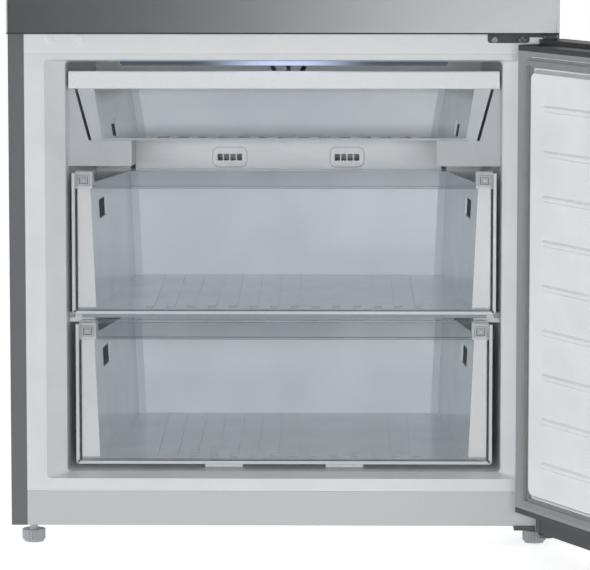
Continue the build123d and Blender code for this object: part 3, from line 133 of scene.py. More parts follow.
def linear(code):
    """Linear RGB of an sRGB hex colour."""
    values = []
    for start in (0, 2, 4):
        value = int(code[start:start + 2], 16) / 255
        values.append(value / 12.92 if value <= 0.04045 else ((value + 0.055) / 1.055) ** 2.4)
    return tuple(values)


def opaque(colour):
    """A colour as the four values that a colour socket takes."""
    return tuple(colour)[:3] + (1.0,)


def add(tree, kind, settings=None, links=None):
    """Adds one node with its settings, and links its inputs."""
    node = tree.nodes.new(kind)
    for key, value in (settings or {}).items():
        if isinstance(key, int) or key in node.inputs:
            node.inputs[key].default_value = value
        else:
            setattr(node, key, value)
    for key, socket in (links or {}).items():
        tree.links.new(socket, node.inputs[key])
    return node


def start_material(name, settings):
    """An empty node material with one Principled shader on its output."""
    material = bpy.data.materials.new(name)
    material.use_nodes = True
    tree = material.node_tree
    tree.nodes.clear()
    shader = add(tree, "ShaderNodeBsdfPrincipled", settings)
    add(tree, "ShaderNodeOutputMaterial", None, {"Surface": shader.outputs["BSDF"]})
    coords = add(tree, "ShaderNodeTexCoord").outputs["Object"]
    return material, tree, shader, coords


def grain(tree, coords, size, stretch=(1.0, 1.0, 1.0), detail=2.0):
    """A noise whose spots are about size metres wide, drawn out along the axes that stretch shortens."""
    mapping = add(tree, "ShaderNodeMapping", {"Scale": stretch}, {"Vector": coords})
    return add(
        tree,
        "ShaderNodeTexNoise",
        {"Scale": 1.0 / size, "Detail": detail, "Roughness": 0.55},
        {"Vector": mapping.outputs["Vector"]},
    ).outputs["Fac"]


def tint(tree, shader, fac, dark, light, low=0.35, high=0.65):
    """The base colour runs from dark to light with fac."""
    ramp = add(tree, "ShaderNodeValToRGB", None, {"Fac": fac})
    ramp.color_ramp.elements[0].position = low
    ramp.color_ramp.elements[0].color = opaque(dark)
    ramp.color_ramp.elements[1].position = high
    ramp.color_ramp.elements[1].color = opaque(light)
    tree.links.new(ramp.outputs["Color"], shader.inputs["Base Color"])


def relief(tree, shader, fac, height, strength=0.4):
    """A bump of that height in metres."""
    bump = add(tree, "ShaderNodeBump", {"Strength": strength, "Distance": height}, {"Height": fac})
    tree.links.new(bump.outputs["Normal"], shader.inputs["Normal"])


def gloss_range(tree, shader, fac, low, high):
    """The roughness varies with fac between two values."""
    span = add(tree, "ShaderNodeMapRange", {"To Min": low, "To Max": high}, {"Value": fac})
    tree.links.new(span.outputs["Result"], shader.inputs["Roughness"])


def facing_way(tree, way):
    """How squarely a surface faces a direction, from -1 to 1."""
    normal = add(tree, "ShaderNodeTexCoord").outputs["Normal"]
    dot = add(tree, "ShaderNodeVectorMath", {"operation": "DOT_PRODUCT", 1: way}, {0: normal})
    return dot.outputs["Value"]


def edge_cover(tree, shader, blend, face, edge):
    """See-through face on, and more solid where the wall is seen along its edge."""
    facing = add(tree, "ShaderNodeLayerWeight", {"Blend": blend}).outputs["Facing"]
    cover = add(tree, "ShaderNodeMapRange", {"To Min": face, "To Max": edge}, {"Value": facing})
    tree.links.new(cover.outputs["Result"], shader.inputs["Alpha"])


def seen_rays(tree):
    """1 for rays from the camera, from gloss and through glass, and 0 for the light itself."""
    rays = add(tree, "ShaderNodeLightPath").outputs
    larger = {"operation": "MAXIMUM"}
    seen = add(tree, "ShaderNodeMath", larger, {0: rays["Is Camera Ray"], 1: rays["Is Glossy Ray"]})
    seen = add(tree, "ShaderNodeMath", larger, {0: seen.outputs[0], 1: rays["Is Transmission Ray"]})
    return seen.outputs[0]


def shaded(colour, factor):
    """A colour made darker or lighter by a factor."""
    return tuple(min(1.0, value * factor) for value in tuple(colour)[:3])


class FridgeFinishSettings(bpy.types.PropertyGroup):
    """Colours of the refrigerator's surfaces."""

    door: FloatVectorProperty(
        name="Door sheet", description="Stainless door sheet", subtype="COLOR", default=linear("C3C5C7")
    )
    border: FloatVectorProperty(
        name="Door border", description="Sheet round a door's back", subtype="COLOR",
        default=linear("929496"),
    )
    wrap: FloatVectorProperty(
        name="Cabinet sides", description="Painted sides and top", subtype="COLOR", default=linear("6E7072")
    )
    liner: FloatVectorProperty(
        name="Liners", description="Thermoformed liners", subtype="COLOR", default=linear("E4E6E8")
    )
    # The mullion and plinth strips are one paint, painted paler at the top and darker at the bottom as
    # painted light and shade
    strip: FloatVectorProperty(
        name="Mullion strip", description="Strip between the doors", subtype="COLOR",
        default=linear("EAEBEC"),
    )
    plinth: FloatVectorProperty(
        name="Plinth strip", description="Strip under the freezer", subtype="COLOR",
        default=linear("CBCCCD"),
    )
    trim: FloatVectorProperty(
        name="Shelf trims", description="Strips along the shelves' fronts", subtype="COLOR",
        default=linear("9BA3AA"),
    )
    drawer: FloatVectorProperty(
        name="Drawer tubs", description="Milky clear drawers", subtype="COLOR", default=linear("E2E8ED")
    )
    bar: FloatVectorProperty(
        name="Drawer bar", description="White bar of the top drawer", subtype="COLOR",
        default=linear("E6E8EA"),
    )
    cap: FloatVectorProperty(
        name="Door caps", description="Dark end caps and grips", subtype="COLOR", default=linear("36383B")
    )
    hinge: FloatVectorProperty(
        name="Hinges", description="Dark painted hinges", subtype="COLOR", default=linear("4E5053")
    )
    seal: FloatVectorProperty(
        name="Seals", description="Soft door seals", subtype="COLOR", default=linear("868889")
    )
    foot: FloatVectorProperty(
        name="Feet", description="Levelling feet", subtype="COLOR", default=linear("AEB0B2")
    )
    # The runners' grey is a painted shade on their white plastic
    runner: FloatVectorProperty(
        name="Runners", description="Runners of the top drawer", subtype="COLOR", default=linear("BBBFC3")
    )
    # The covers' paler white is painted light, making up for the little light that reaches them
    cover: FloatVectorProperty(
        name="Air covers", description="Covers over the coil and duct", subtype="COLOR",
        default=linear("F0F2F4"),
    )


class FridgeDetailSettings(bpy.types.PropertyGroup):
    """Sizes of the small pieces on the drawers."""

    cup_margin: FloatProperty(
        name="Cup margin", description="How far a hole shade cup reaches past its hand hole", unit="LENGTH",
        default=5 * MM,
    )
    cup_wall: FloatProperty(
        name="Cup wall", description="Wall of a hole shade cup", unit="LENGTH", default=1.2 * MM
    )
    bead_width: FloatProperty(
        name="Bead width", description="Width of the bead round a deep drawer's front", unit="LENGTH",
        default=4.6 * MM,
    )
    bead_reach: FloatVectorProperty(
        name="Bead reach", description="How far the bead stands out past the front's sides and foot",
        size=2, unit="LENGTH", default=(4.5 * MM, 2.0 * MM),
    )
    bead_rise: FloatProperty(
        name="Bead rise", description="How far that bead stands proud", unit="LENGTH", default=1.2 * MM
    )
    bead_radius: FloatProperty(
        name="Bead corner", description="Radius of that bead's corners", unit="LENGTH", default=4 * MM
    )


class FridgeStageSettings(bpy.types.PropertyGroup):
    """Camera and light of the picture."""

    eye: FloatVectorProperty(
        name="Camera place", description="Where the camera stands", subtype="TRANSLATION", unit="LENGTH",
        default=(0.0725, -4.7753, 0.9016),
    )
    pitch: FloatProperty(
        name="Pitch", description="How far the camera looks down", subtype="ANGLE",
        default=math.radians(6.247),
    )
    yaw: FloatProperty(
        name="Yaw", description="How far the camera turns to the left", subtype="ANGLE",
        default=math.radians(0.74),
    )
    lens: FloatProperty(
        name="Lens", description="Focal length in millimetres", default=214.45
    )
    shift: FloatProperty(
        name="Shift", description="How far the picture's frame is shifted down", default=-0.1
    )
    sky: FloatProperty(
        name="Room light", description="Strength of the even light all round", default=0.28
    )
    key: FloatProperty(
        name="Key light", description="Power of the large lamp in front", unit="POWER", default=90.0
    )
    side: FloatProperty(
        name="Side light", description="Power of the lamp on the left", unit="POWER", default=45.0
    )
    glow: FloatProperty(
        name="Cabinet lamps", description="Strength of the lamps inside", default=0.9
    )


def finishes():
    """The scene's finish settings."""
    return bpy.context.scene.fridge_finishes


def stainless_sheet(name, colour, border, inward):
    """Stainless sheet with a fine speckle; the folded border that faces inward is grey and matt."""
    material, tree, shader, coords = start_material(name, {"Coat Weight": 0.1, "Coat Roughness": 0.25})
    # The rolled speckle is near 0.3 mm; 1 mm shows at this picture's size
    speckle = grain(tree, coords, 1.0 * MM, (0.5, 1.0, 1.0), 3.0)
    ramp = add(tree, "ShaderNodeMapRange", {"To Min": 0.93, "To Max": 1.06}, {"Value": speckle})
    facing = facing_way(tree, inward)
    folded = add(
        tree, "ShaderNodeMath", {"operation": "GREATER_THAN", 1: BORDER_FACING}, {0: facing}
    ).outputs[0]
    pick = add(
        tree, "ShaderNodeMix", {"data_type": "RGBA", 6: opaque(colour), 7: opaque(border)}, {0: folded}
    )
    shade = add(
        tree, "ShaderNodeMix",
        {"data_type": "RGBA", "blend_type": "MULTIPLY", 0: 1.0},
        {6: pick.outputs[2], 7: ramp.outputs["Result"]},
    )
    tree.links.new(shade.outputs[2], shader.inputs["Base Color"])
    metal = add(tree, "ShaderNodeMath", {"operation": "SUBTRACT", 0: 1.0}, {1: folded})
    tree.links.new(metal.outputs[0], shader.inputs["Metallic"])
    sheen = add(tree, "ShaderNodeMapRange", {"To Min": 0.21, "To Max": 0.27}, {"Value": speckle})
    rough = add(
        tree, "ShaderNodeMath",
        {"operation": "MULTIPLY_ADD", 1: 0.3}, {0: folded, 2: sheen.outputs["Result"]},
    )
    tree.links.new(rough.outputs[0], shader.inputs["Roughness"])
    relief(tree, shader, speckle, 0.02 * MM, 0.2)
    return material


def painted_sheet(name, colour, roughness=0.42):
    """Powder-coated steel: even colour with a faint orange-peel surface."""
    material, tree, shader, coords = start_material(
        name, {"Roughness": roughness, "IOR": 1.5, "Coat Weight": 0.1, "Coat Roughness": 0.3}
    )
    # Orange peel waves are about 2 mm long
    peel = grain(tree, coords, 2.0 * MM)
    tint(tree, shader, peel, shaded(colour, 0.965), shaded(colour, 1.025))
    relief(tree, shader, peel, 0.03 * MM, 0.25)
    return material


def formed_polystyrene(name, colour):
    """Thermoformed high-impact polystyrene: satin white, slightly uneven from the drawing."""
    material, tree, shader, coords = start_material(
        name, {"Roughness": 0.3, "IOR": 1.59, "Subsurface Weight": 0.04, "Subsurface Scale": 2.0 * MM}
    )
    broad = grain(tree, coords, 60 * MM)
    tint(tree, shader, broad, shaded(colour, 0.97), shaded(colour, 1.02))
    fine = grain(tree, coords, 1.2 * MM)
    gloss_range(tree, shader, fine, 0.26, 0.36)
    relief(tree, shader, fine, 0.02 * MM, 0.2)
    return material


def moulded_plastic(name, colour, roughness=0.5, sheen=0.5):
    """Injection-moulded ABS with a fine spark-eroded texture."""
    settings = {"Roughness": roughness, "IOR": 1.53, "Specular IOR Level": sheen}
    material, tree, shader, coords = start_material(name, settings)
    # Spark erosion leaves pits near 0.2 mm; 0.8 mm shows here
    pits = grain(tree, coords, 0.8 * MM, detail=3.0)
    tint(tree, shader, pits, shaded(colour, 0.94), shaded(colour, 1.05))
    gloss_range(tree, shader, pits, roughness - 0.06, roughness + 0.08)
    relief(tree, shader, pits, 0.03 * MM, 0.35)
    return material


def milky_polystyrene(name, colour, collar, floor):
    """Milky polystyrene, glossy and cool; forward faces near the front take the collar colour, a painted
    shade on the top tub, and the floor's forward edges a painted shade.
    """
    material, tree, shader, coords = start_material(
        name, {"Roughness": 0.16, "IOR": 1.59, "Coat Weight": 0.2, "Coat Roughness": 0.08}
    )
    flow = grain(tree, coords, 90 * MM)
    tint(tree, shader, flow, shaded(colour, 0.95), shaded(colour, 1.03))
    gloss_range(tree, shader, flow, 0.12, 0.22)
    walls = shader.inputs["Base Color"].links[0].from_socket
    place = add(tree, "ShaderNodeSeparateXYZ", None, {0: coords}).outputs
    facing = facing_way(tree, FORWARD)
    flat = add(
        tree, "ShaderNodeMath", {"operation": "GREATER_THAN", 1: FRONT_FACING}, {0: facing}
    ).outputs[0]
    near = add(tree, "ShaderNodeMath", {"operation": "LESS_THAN", 1: TUB_NEAR}, {0: place["Y"]}).outputs[0]
    front = add(tree, "ShaderNodeMath", {"operation": "MULTIPLY"}, {0: flat, 1: near}).outputs[0]
    under = add(tree, "ShaderNodeMath", {"operation": "LESS_THAN", 1: floor}, {0: place["Z"]}).outputs[0]
    # Forward faces below the floor's height get a painted shade, and the others near the front the collar
    # colour
    edge = add(
        tree, "ShaderNodeMix",
        {"data_type": "RGBA", 6: opaque(collar), 7: opaque(shaded(colour, FLOOR_EDGE_PAINTED_SHADE))}, {0: under},
    ).outputs[2]
    mixed = add(tree, "ShaderNodeMix", {"data_type": "RGBA"}, {0: front, 6: walls, 7: edge})
    tree.links.new(mixed.outputs[2], shader.inputs["Base Color"])
    return material


def clear_polystyrene(name, colour, face, edge):
    """Clear polystyrene: nearly invisible face on, milky where the wall is seen along its edge."""
    material, tree, shader, coords = start_material(
        name, {"Roughness": 0.06, "IOR": 1.59, "Specular IOR Level": 0.6}
    )
    tint(tree, shader, grain(tree, coords, 120 * MM), shaded(colour, 0.97), colour)
    edge_cover(tree, shader, 0.35, face, edge)
    return material


def banded_front(name, colour, front):
    """A clear drawer front: smoky along its finger band, milky in the thick blocks at the band's ends."""
    material = clear_polystyrene(name, colour, *FRONT_COVER)
    tree = material.node_tree
    shader = next(node for node in tree.nodes if node.type == "BSDF_PRINCIPLED")
    coords = add(tree, "ShaderNodeTexCoord").outputs["Object"]
    place = add(tree, "ShaderNodeSeparateXYZ", None, {0: coords}).outputs
    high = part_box(front)[1]
    half_band = BAND_HEIGHT / 2
    band = add(
        tree, "ShaderNodeMath",
        {"operation": "COMPARE", 1: high.z - BAND_EDGE - half_band, 2: half_band}, {0: place["Z"]},
    ).outputs[0]
    reach = add(tree, "ShaderNodeMath", {"operation": "ABSOLUTE"}, {0: place["X"]}).outputs[0]
    end = add(
        tree, "ShaderNodeMath", {"operation": "GREATER_THAN", 1: high.x - BAND_END}, {0: reach}
    ).outputs[0]
    clear = shader.inputs["Base Color"].links[0].from_socket
    smoke = add(
        tree, "ShaderNodeMix",
        {"data_type": "RGBA", 6: opaque(linear("6C747C")), 7: opaque(linear("F2F4F5"))}, {0: end},
    ).outputs[2]
    colour_mix = add(tree, "ShaderNodeMix", {"data_type": "RGBA"}, {0: band, 6: clear, 7: smoke})
    tree.links.new(colour_mix.outputs[2], shader.inputs["Base Color"])
    extra = add(tree, "ShaderNodeMapRange", {"To Min": 0.14, "To Max": 0.3}, {"Value": end})
    thin = shader.inputs["Alpha"].links[0].from_socket
    cover = add(
        tree, "ShaderNodeMath",
        {"operation": "MULTIPLY_ADD"}, {0: band, 1: extra.outputs["Result"], 2: thin},
    )
    tree.links.new(cover.outputs[0], shader.inputs["Alpha"])
    return material


def painted_highlight_edge(name, colour, flank):
    """The polished edge of a clear front: painted bright as a highlight where it faces forward, painted
    dark as shade along its rounded flanks.
    """
    material, tree, shader, coords = start_material(name, {"Roughness": 0.12, "IOR": 1.59})
    facing = facing_way(tree, FORWARD)
    streak = grain(tree, coords, 30 * MM)
    shift = add(tree, "ShaderNodeMath", {"operation": "MULTIPLY_ADD", 1: 0.06}, {0: streak, 2: facing})
    # Forward faces are painted bright as a highlight and the flanks dark as shade
    tint(tree, shader, shift.outputs[0], flank, colour, 0.85, 0.98)
    return material


def soft_seal(name, colour):
    """Extruded soft PVC: matt, with a faint bloom."""
    material, tree, shader, coords = start_material(
        name, {"Roughness": 0.62, "IOR": 1.5, "Sheen Weight": 0.1}
    )
    bloom = grain(tree, coords, 14 * MM)
    tint(tree, shader, bloom, shaded(colour, 0.94), shaded(colour, 1.03))
    relief(tree, shader, grain(tree, coords, 1.0 * MM), 0.03 * MM, 0.3)
    return material


def bare_metal(name, colour, roughness=0.35, spangle=8.0):
    """Zinc-coated or bare metal with its crystal spangle."""
    material, tree, shader, coords = start_material(name, {"Metallic": 1.0, "Roughness": roughness})
    cells = add(
        tree, "ShaderNodeTexVoronoi", {"Scale": 1.0 / (spangle * MM)}, {"Vector": coords}
    ).outputs["Distance"]
    tint(tree, shader, cells, shaded(colour, 0.88), shaded(colour, 1.06), 0.1, 0.7)
    gloss_range(tree, shader, cells, roughness - 0.06, roughness + 0.1)
    return material


def cut_foam(name, colour):
    """Polyurethane foam: matt cream with small cells."""
    material, tree, shader, coords = start_material(name, {"Roughness": 0.9, "IOR": 1.45})
    cells = add(
        tree, "ShaderNodeTexVoronoi", {"Scale": 1.0 / (1.5 * MM)}, {"Vector": coords}
    ).outputs["Distance"]
    tint(tree, shader, cells, shaded(colour, 0.8), colour, 0.1, 0.8)
    relief(tree, shader, cells, 0.3 * MM)
    return material


def toughened_glass(name):
    """Float glass: clear face on, green at its edges."""
    material, tree, shader, coords = start_material(name, {"Roughness": 0.03, "IOR": 1.52})
    tint(tree, shader, grain(tree, coords, 200 * MM), linear("BFD9D3"), linear("C9DFDA"))
    edge_cover(tree, shader, 0.4, 0.12, 0.8)
    return material


def lit_diffuser(name, strength):
    """Frosted polycarbonate over a short lamp: a cool glow that fades from the middle to the ends, over a
    dark blue base colour that is painted shade.
    """
    material, tree, shader, coords = start_material(
        name,
        {
            # The dark blue base is painted shade at the top of the compartment, beyond the glow
            "Base Color": opaque(linear("4A5464")),
            "Roughness": 0.4,
            "Emission Color": opaque(linear("C4D8FF")),
        },
    )
    across = add(tree, "ShaderNodeSeparateXYZ", None, {0: coords}).outputs["X"]
    reach = add(tree, "ShaderNodeMath", {"operation": "ABSOLUTE"}, {0: across}).outputs[0]
    fade = add(
        tree, "ShaderNodeMapRange",
        {"interpolation_type": "SMOOTHERSTEP", "From Max": LAMP_REACH, "To Min": strength, "To Max": 0.0},
        {"Value": reach},
    )
    tree.links.new(fade.outputs["Result"], shader.inputs["Emission Strength"])
    relief(tree, shader, grain(tree, coords, 1.0 * MM), 0.05 * MM)
    return material


def dress(material, *nodes):
    """Gives CAD nodes one finish."""
    for node in nodes:
        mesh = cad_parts[node].data
        mesh.materials.clear()
        mesh.materials.append(material)


class FRIDGE_OT_dress_cabinet(bpy.types.Operator):
    """Finish the cabinet, its liners and its strips"""

    bl_idname = "fridge.dress_cabinet"
    bl_label = "Finish cabinet"

    def execute(self, context):
        look = finishes()
        dress(painted_sheet("Powder-coated side sheet", look.wrap), "outer_wrap")
        dress(formed_polystyrene("White liner polystyrene", look.liner), "freezer_liner", "fridge_liner")
        # One paint, painted paler on the mullion and darker on the plinth as painted light and shade
        dress(painted_sheet("Mullion paint, painted paler as light", look.strip, 0.36), "mullion_trim")
        dress(painted_sheet("Plinth paint, painted darker as shade", look.plinth, 0.36), "plinth_strip")
        zinc = bare_metal("Zinc-coated sheet", linear("A4A7AA"))
        dress(zinc, "rear_panel", "base_plate", "machine_bulkhead", "machine_room_cover")
        dress(cut_foam("Cream polyurethane foam", linear(FOAM_COLOUR)), "cabinet_foam")
        dress(moulded_plastic("White plug plastic", look.strip, 0.4), "hinge_hole_plugs")
        return {"FINISHED"}


class FRIDGE_OT_dress_hinges(bpy.types.Operator):
    """Finish the hinges, their screws and the top cover"""

    bl_idname = "fridge.dress_hinges"
    bl_label = "Finish hinges"

    def execute(self, context):
        look = finishes()
        dress(painted_sheet("Dark hinge paint", look.hinge), "middle_hinge", "bottom_hinge", "top_hinge")
        dress(bare_metal("Plated screw steel", linear("8C8E90"), 0.22, 3.0), "hinge_screws", "roller_axles")
        dress(moulded_plastic("Dark hinge cover plastic", look.cap), "top_hinge_cover")
        return {"FINISHED"}


class FRIDGE_OT_dress_doors(bpy.types.Operator):
    """Finish both doors"""

    bl_idname = "fridge.dress_doors"
    bl_label = "Finish doors"

    def execute(self, context):
        look = finishes()
        cap = moulded_plastic("Dark door cap plastic", look.cap)
        liner = formed_polystyrene("White door polystyrene", look.liner)
        foam = cut_foam("Cream door foam", linear(FOAM_COLOUR))
        bush = moulded_plastic("Acetal bush plastic", linear("DAD9D4"), 0.35)
        seal = soft_seal("Grey seal vinyl", look.seal)
        for door, inward in DOOR_INWARD.items():
            name = f"Stainless sheet of the {door.replace('_', ' ')}"
            sheet = stainless_sheet(name, look.door, look.border, inward)
            dress(sheet, f"{door}_skin")
            dress(cap, f"{door}_bottom_cap", f"{door}_top_cap", f"{door}_grip")
            dress(liner, f"{door}_liner")
            dress(foam, f"{door}_foam")
            dress(bush, f"{door}_bushes")
            dress(seal, f"{door}_gasket")
        dress(clear_polystyrene("Clear bin polystyrene", linear("E8F0F4"), 0.2, 0.8), "upper_door_bins")
        return {"FINISHED"}


class FRIDGE_OT_dress_drawers(bpy.types.Operator):
    """Finish the drawers, runners and shelves"""

    bl_idname = "fridge.dress_drawers"
    bl_label = "Finish drawers"

    def execute(self, context):
        look = finishes()
        for body, floor in TUB_FLOOR.items():
            name = f"Milky {body.replace('_', ' ')} polystyrene"
            top = body == "top_drawer"
            # The top tub's collar is darkened as painted shade; the deep tubs' collars get a plain neutral
            # white
            collar = shaded(look.drawer, TOP_COLLAR_PAINTED_SHADE) if top else linear("E2E4E6")
            # Each tub's walls are painted paler by its own factor, as painted light that stands in for the
            # light reaching it
            walls = shaded(look.drawer, TUB_PAINTED_LIGHT[body])
            dress(milky_polystyrene(name, walls, collar, floor), f"{body}_tub")
        pane_colour = linear("E6EEF2")
        dress(clear_polystyrene("Clear drawer front", pane_colour, *FRONT_COVER), "top_drawer_front")
        for body in DEEP_DRAWERS:
            front = f"{body}_front"
            dress(banded_front(f"Clear {front.replace('_', ' ')}", pane_colour, front), front)
        dress(moulded_plastic("Gloss white bar plastic", look.bar, 0.25), "top_drawer_bar")
        # The runners' grey colour is painted shade
        dress(formed_polystyrene("Runner plastic, greyed as painted shade", look.runner), "drawer_runners")
        dress(toughened_glass("Toughened shelf glass"), "shelf_glass")
        dress(moulded_plastic("Grey shelf trim", look.trim, 0.35), "shelf_trims")
        dress(clear_polystyrene("Clear crisper polystyrene", linear("DDEBEA"), 0.25, 0.85), "crispers")
        return {"FINISHED"}


class FRIDGE_OT_dress_cooling(bpy.types.Operator):
    """Finish the air covers, coil, fan, compressor and lamps"""

    bl_idname = "fridge.dress_cooling"
    bl_label = "Finish cooling"

    def execute(self, context):
        look = finishes()
        # The covers' paler white is painted light
        cover = formed_polystyrene("White air cover plastic", look.cover)
        dress(cover, "evaporator_cover", "fridge_duct_cover")
        # The coil's near-black colour is painted shade, so the cover's grilles read dark
        dress(bare_metal("Coil aluminium, darkened as painted shade", linear("2E3032"), 0.45, 20.0), "evaporator_coil")
        dress(painted_sheet("Motor can paint", linear("55585B")), "fan_motor")
        dress(moulded_plastic("Dark fan plastic", linear("43474A")), "evaporator_fan")
        dress(painted_sheet("Black compressor paint", linear("1E1F20")), "compressor")
        dress(soft_seal("Black grommet rubber", linear("2A2A2A")), "compressor_grommets")
        dress(moulded_plastic("Dark tray plastic", linear("3A3C3E")), "drip_tray")
        glow = context.scene.fridge_stage.glow
        dress(lit_diffuser("Frosted lamp polycarbonate on painted shade", glow), "lamp_covers")
        return {"FINISHED"}


class FRIDGE_OT_dress_feet(bpy.types.Operator):
    """Finish the feet and rollers"""

    bl_idname = "fridge.dress_feet"
    bl_label = "Finish feet"

    def execute(self, context):
        look = finishes()
        dress(moulded_plastic("Light foot plastic", look.foot), "left_foot", "right_foot")
        dress(moulded_plastic("Black roller plastic", linear("2E2F30")), "left_roller", "right_roller")
        return {"FINISHED"}


def start_piece(add_shape, **placing):
    """Adds a primitive with nothing else selected, and opens it for editing."""
    bpy.ops.object.select_all(action="DESELECT")
    add_shape(**placing)
    bpy.ops.object.mode_set(mode="EDIT")
    return bpy.context.active_object


def extrude(way):
    """Extrudes what is selected."""
    bpy.ops.mesh.extrude_region_move(TRANSFORM_OT_translate={"value": way})


def pick_faces(piece, wanted):
    """In edit mode, selects only the faces that pass a test."""
    bpy.ops.object.mode_set(mode="EDIT")
    bpy.ops.mesh.select_mode(type="FACE")
    bpy.ops.mesh.select_all(action="DESELECT")
    bpy.ops.object.mode_set(mode="OBJECT")
    for face in piece.data.polygons:
        face.select = wanted(face)
    bpy.ops.object.mode_set(mode="EDIT")


def copies(piece, count):
    """A shaped piece and copies of it, each with its own mesh."""
    bpy.ops.object.mode_set(mode="OBJECT")
    pieces = [piece]
    while len(pieces) < count:
        bpy.ops.object.duplicate()
        pieces.append(bpy.context.active_object)
    return pieces


def settle_piece(piece, name, place, turn, body, material):
    """Names a shaped piece, puts it in its place, dresses it and lets it ride on a body."""
    bpy.ops.object.mode_set(mode="OBJECT")
    bpy.ops.object.select_all(action="DESELECT")
    piece.select_set(True)
    bpy.context.view_layer.objects.active = piece
    piece.name = name
    piece.data.name = name
    piece.location = place
    piece.rotation_euler = turn
    bpy.ops.object.transform_apply(location=True, rotation=True, scale=True)
    piece.data.materials.append(material)
    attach(piece, body)


class FRIDGE_OT_add_hole_shade_cups(bpy.types.Operator):
    """Close the drawers' hand holes with near-black cups on the outsides of the tubs, a painted shade for
    the dark gap behind the holes
    """

    bl_idname = "fridge.add_grip_cups"
    bl_label = "Add hole shade cups"

    def execute(self, context):
        detail = context.scene.fridge_details
        # The near-black, nearly glossless plastic is painted shade, standing in for the dark gap between
        # tub and liner
        material = moulded_plastic("Near-black hole shade plastic", linear("0A0B0C"), 0.7, 0.05)
        for body, (spot, slopes, hole) in HAND_HOLES.items():
            low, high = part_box(f"{body}_tub")
            inward, back, down = (value * MM for value in spot)
            cups = copies(self.shape_cup(hole, CUP_DEPTH[body], detail), len(SIDES))
            for (side, sign), cup in zip(SIDES, cups):
                place = (sign * (high.x - inward), low.y + back, high.z - down)
                outward = Vector((sign, *slopes)).normalized()
                along = Vector((0.0, 1.0, 0.0))
                along = (along - outward * along.dot(outward)).normalized()
                turn = Matrix((along, outward.cross(along), outward)).transposed().to_euler()
                name = f"{body}_{side}_hole_shade_cup"
                settle_piece(cup, name, place, turn, body, material)
        return {"FINISHED"}

    def shape_cup(self, hole, depth, detail):
        """A shallow open cup with drafted walls, its mouth on the ground and its floor above."""
        cup = start_piece(bpy.ops.mesh.primitive_plane_add, size=1.0)
        length, height = (value * MM + 2 * detail.cup_margin for value in hole)
        bpy.ops.transform.resize(value=(length, height, 1.0))
        extrude((0.0, 0.0, depth))
        bpy.ops.transform.resize(value=(1 - depth / length, 1 - depth / height, 1.0))
        bpy.ops.mesh.bevel(offset=depth / 4, segments=2)
        pick_faces(cup, lambda face: face.center.z < depth / 100)
        bpy.ops.mesh.delete(type="FACE")
        bpy.ops.mesh.select_all(action="SELECT")
        bpy.ops.mesh.normals_make_consistent(inside=False)
        bpy.ops.object.mode_set(mode="OBJECT")
        bpy.ops.object.modifier_add(type="SOLIDIFY")
        wall = cup.modifiers[-1]
        wall.thickness = detail.cup_wall
        bpy.ops.object.modifier_apply(modifier=wall.name)
        return cup


class FRIDGE_OT_add_front_beads(bpy.types.Operator):
    """Add the polished bead round each deep drawer's front, its bright face and dark flanks painted
    highlight and shade
    """

    bl_idname = "fridge.add_front_beads"
    bl_label = "Add front beads"

    def execute(self, context):
        detail = context.scene.fridge_details
        aside, below = detail.bead_reach
        material = painted_highlight_edge("Bead polystyrene, painted highlight and shade", linear("CDD2D6"), linear("4C5258"))
        for body in DEEP_DRAWERS:
            low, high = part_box(f"{body}_front")
            size = high - low
            bead = start_piece(bpy.ops.mesh.primitive_plane_add, size=1.0)
            bpy.ops.transform.resize(value=(size.x + 2 * aside, size.z + below, 1.0))
            bpy.ops.mesh.bevel(offset=detail.bead_radius, segments=4, affect="VERTICES")
            bpy.ops.mesh.inset(thickness=detail.bead_width)
            bpy.ops.mesh.delete(type="FACE")
            head = (size.z + below) / 2 - detail.bead_width
            pick_faces(bead, lambda face: face.center.y > head)
            bpy.ops.mesh.delete(type="FACE")
            bpy.ops.mesh.select_all(action="SELECT")
            extrude((0.0, 0.0, detail.bead_rise))
            bpy.ops.mesh.bevel(offset=detail.bead_rise / 2, segments=2)
            bpy.ops.mesh.select_all(action="SELECT")
            bpy.ops.mesh.normals_make_consistent(inside=False)
            place = (0.0, low.y, (low.z + high.z - below) / 2)
            name = f"{body}_edge_bead"
            settle_piece(bead, name, place, UPRIGHT, body, material)
        return {"FINISHED"}


class FRIDGE_OT_add_front_clips(bpy.types.Operator):
    """Add the latches that hold each deep drawer's front to its tub"""

    bl_idname = "fridge.add_front_clips"
    bl_label = "Add front clips"

    def execute(self, context):
        # The latches take the same painted highlight and shade
        material = painted_highlight_edge("Latch polystyrene, painted highlight and shade", linear("B4BBC1"), linear("30363C"))
        clips = copies(self.shape_clip(), len(DEEP_DRAWERS) * len(SIDES))
        for body in DEEP_DRAWERS:
            low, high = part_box(f"{body}_front")
            for side, sign in SIDES:
                place = (
                    sign * (high.x - BAND_END / 2),
                    low.y - CLIP_PROUD + CLIP_SIZE[1] / 2,
                    high.z - BAND_EDGE - BAND_HEIGHT / 2,
                )
                name = f"{body}_{side}_front_clip"
                settle_piece(clips.pop(0), name, place, NO_TURN, body, material)
        return {"FINISHED"}

    def shape_clip(self):
        """A rounded block with a drafted recess and a raised tongue in it."""
        clip = start_piece(bpy.ops.mesh.primitive_cube_add, size=1.0)
        bpy.ops.transform.resize(value=CLIP_SIZE)
        bpy.ops.mesh.bevel(offset=CLIP_EDGE, segments=2)
        pick_faces(clip, lambda face: face.normal.y < -0.99)
        for rim, push in CLIP_STEPS:
            bpy.ops.mesh.inset(thickness=rim)
            extrude((0.0, push, 0.0))
            bpy.ops.transform.resize(value=(CLIP_DRAFT, 1.0, CLIP_DRAFT))
        return clip


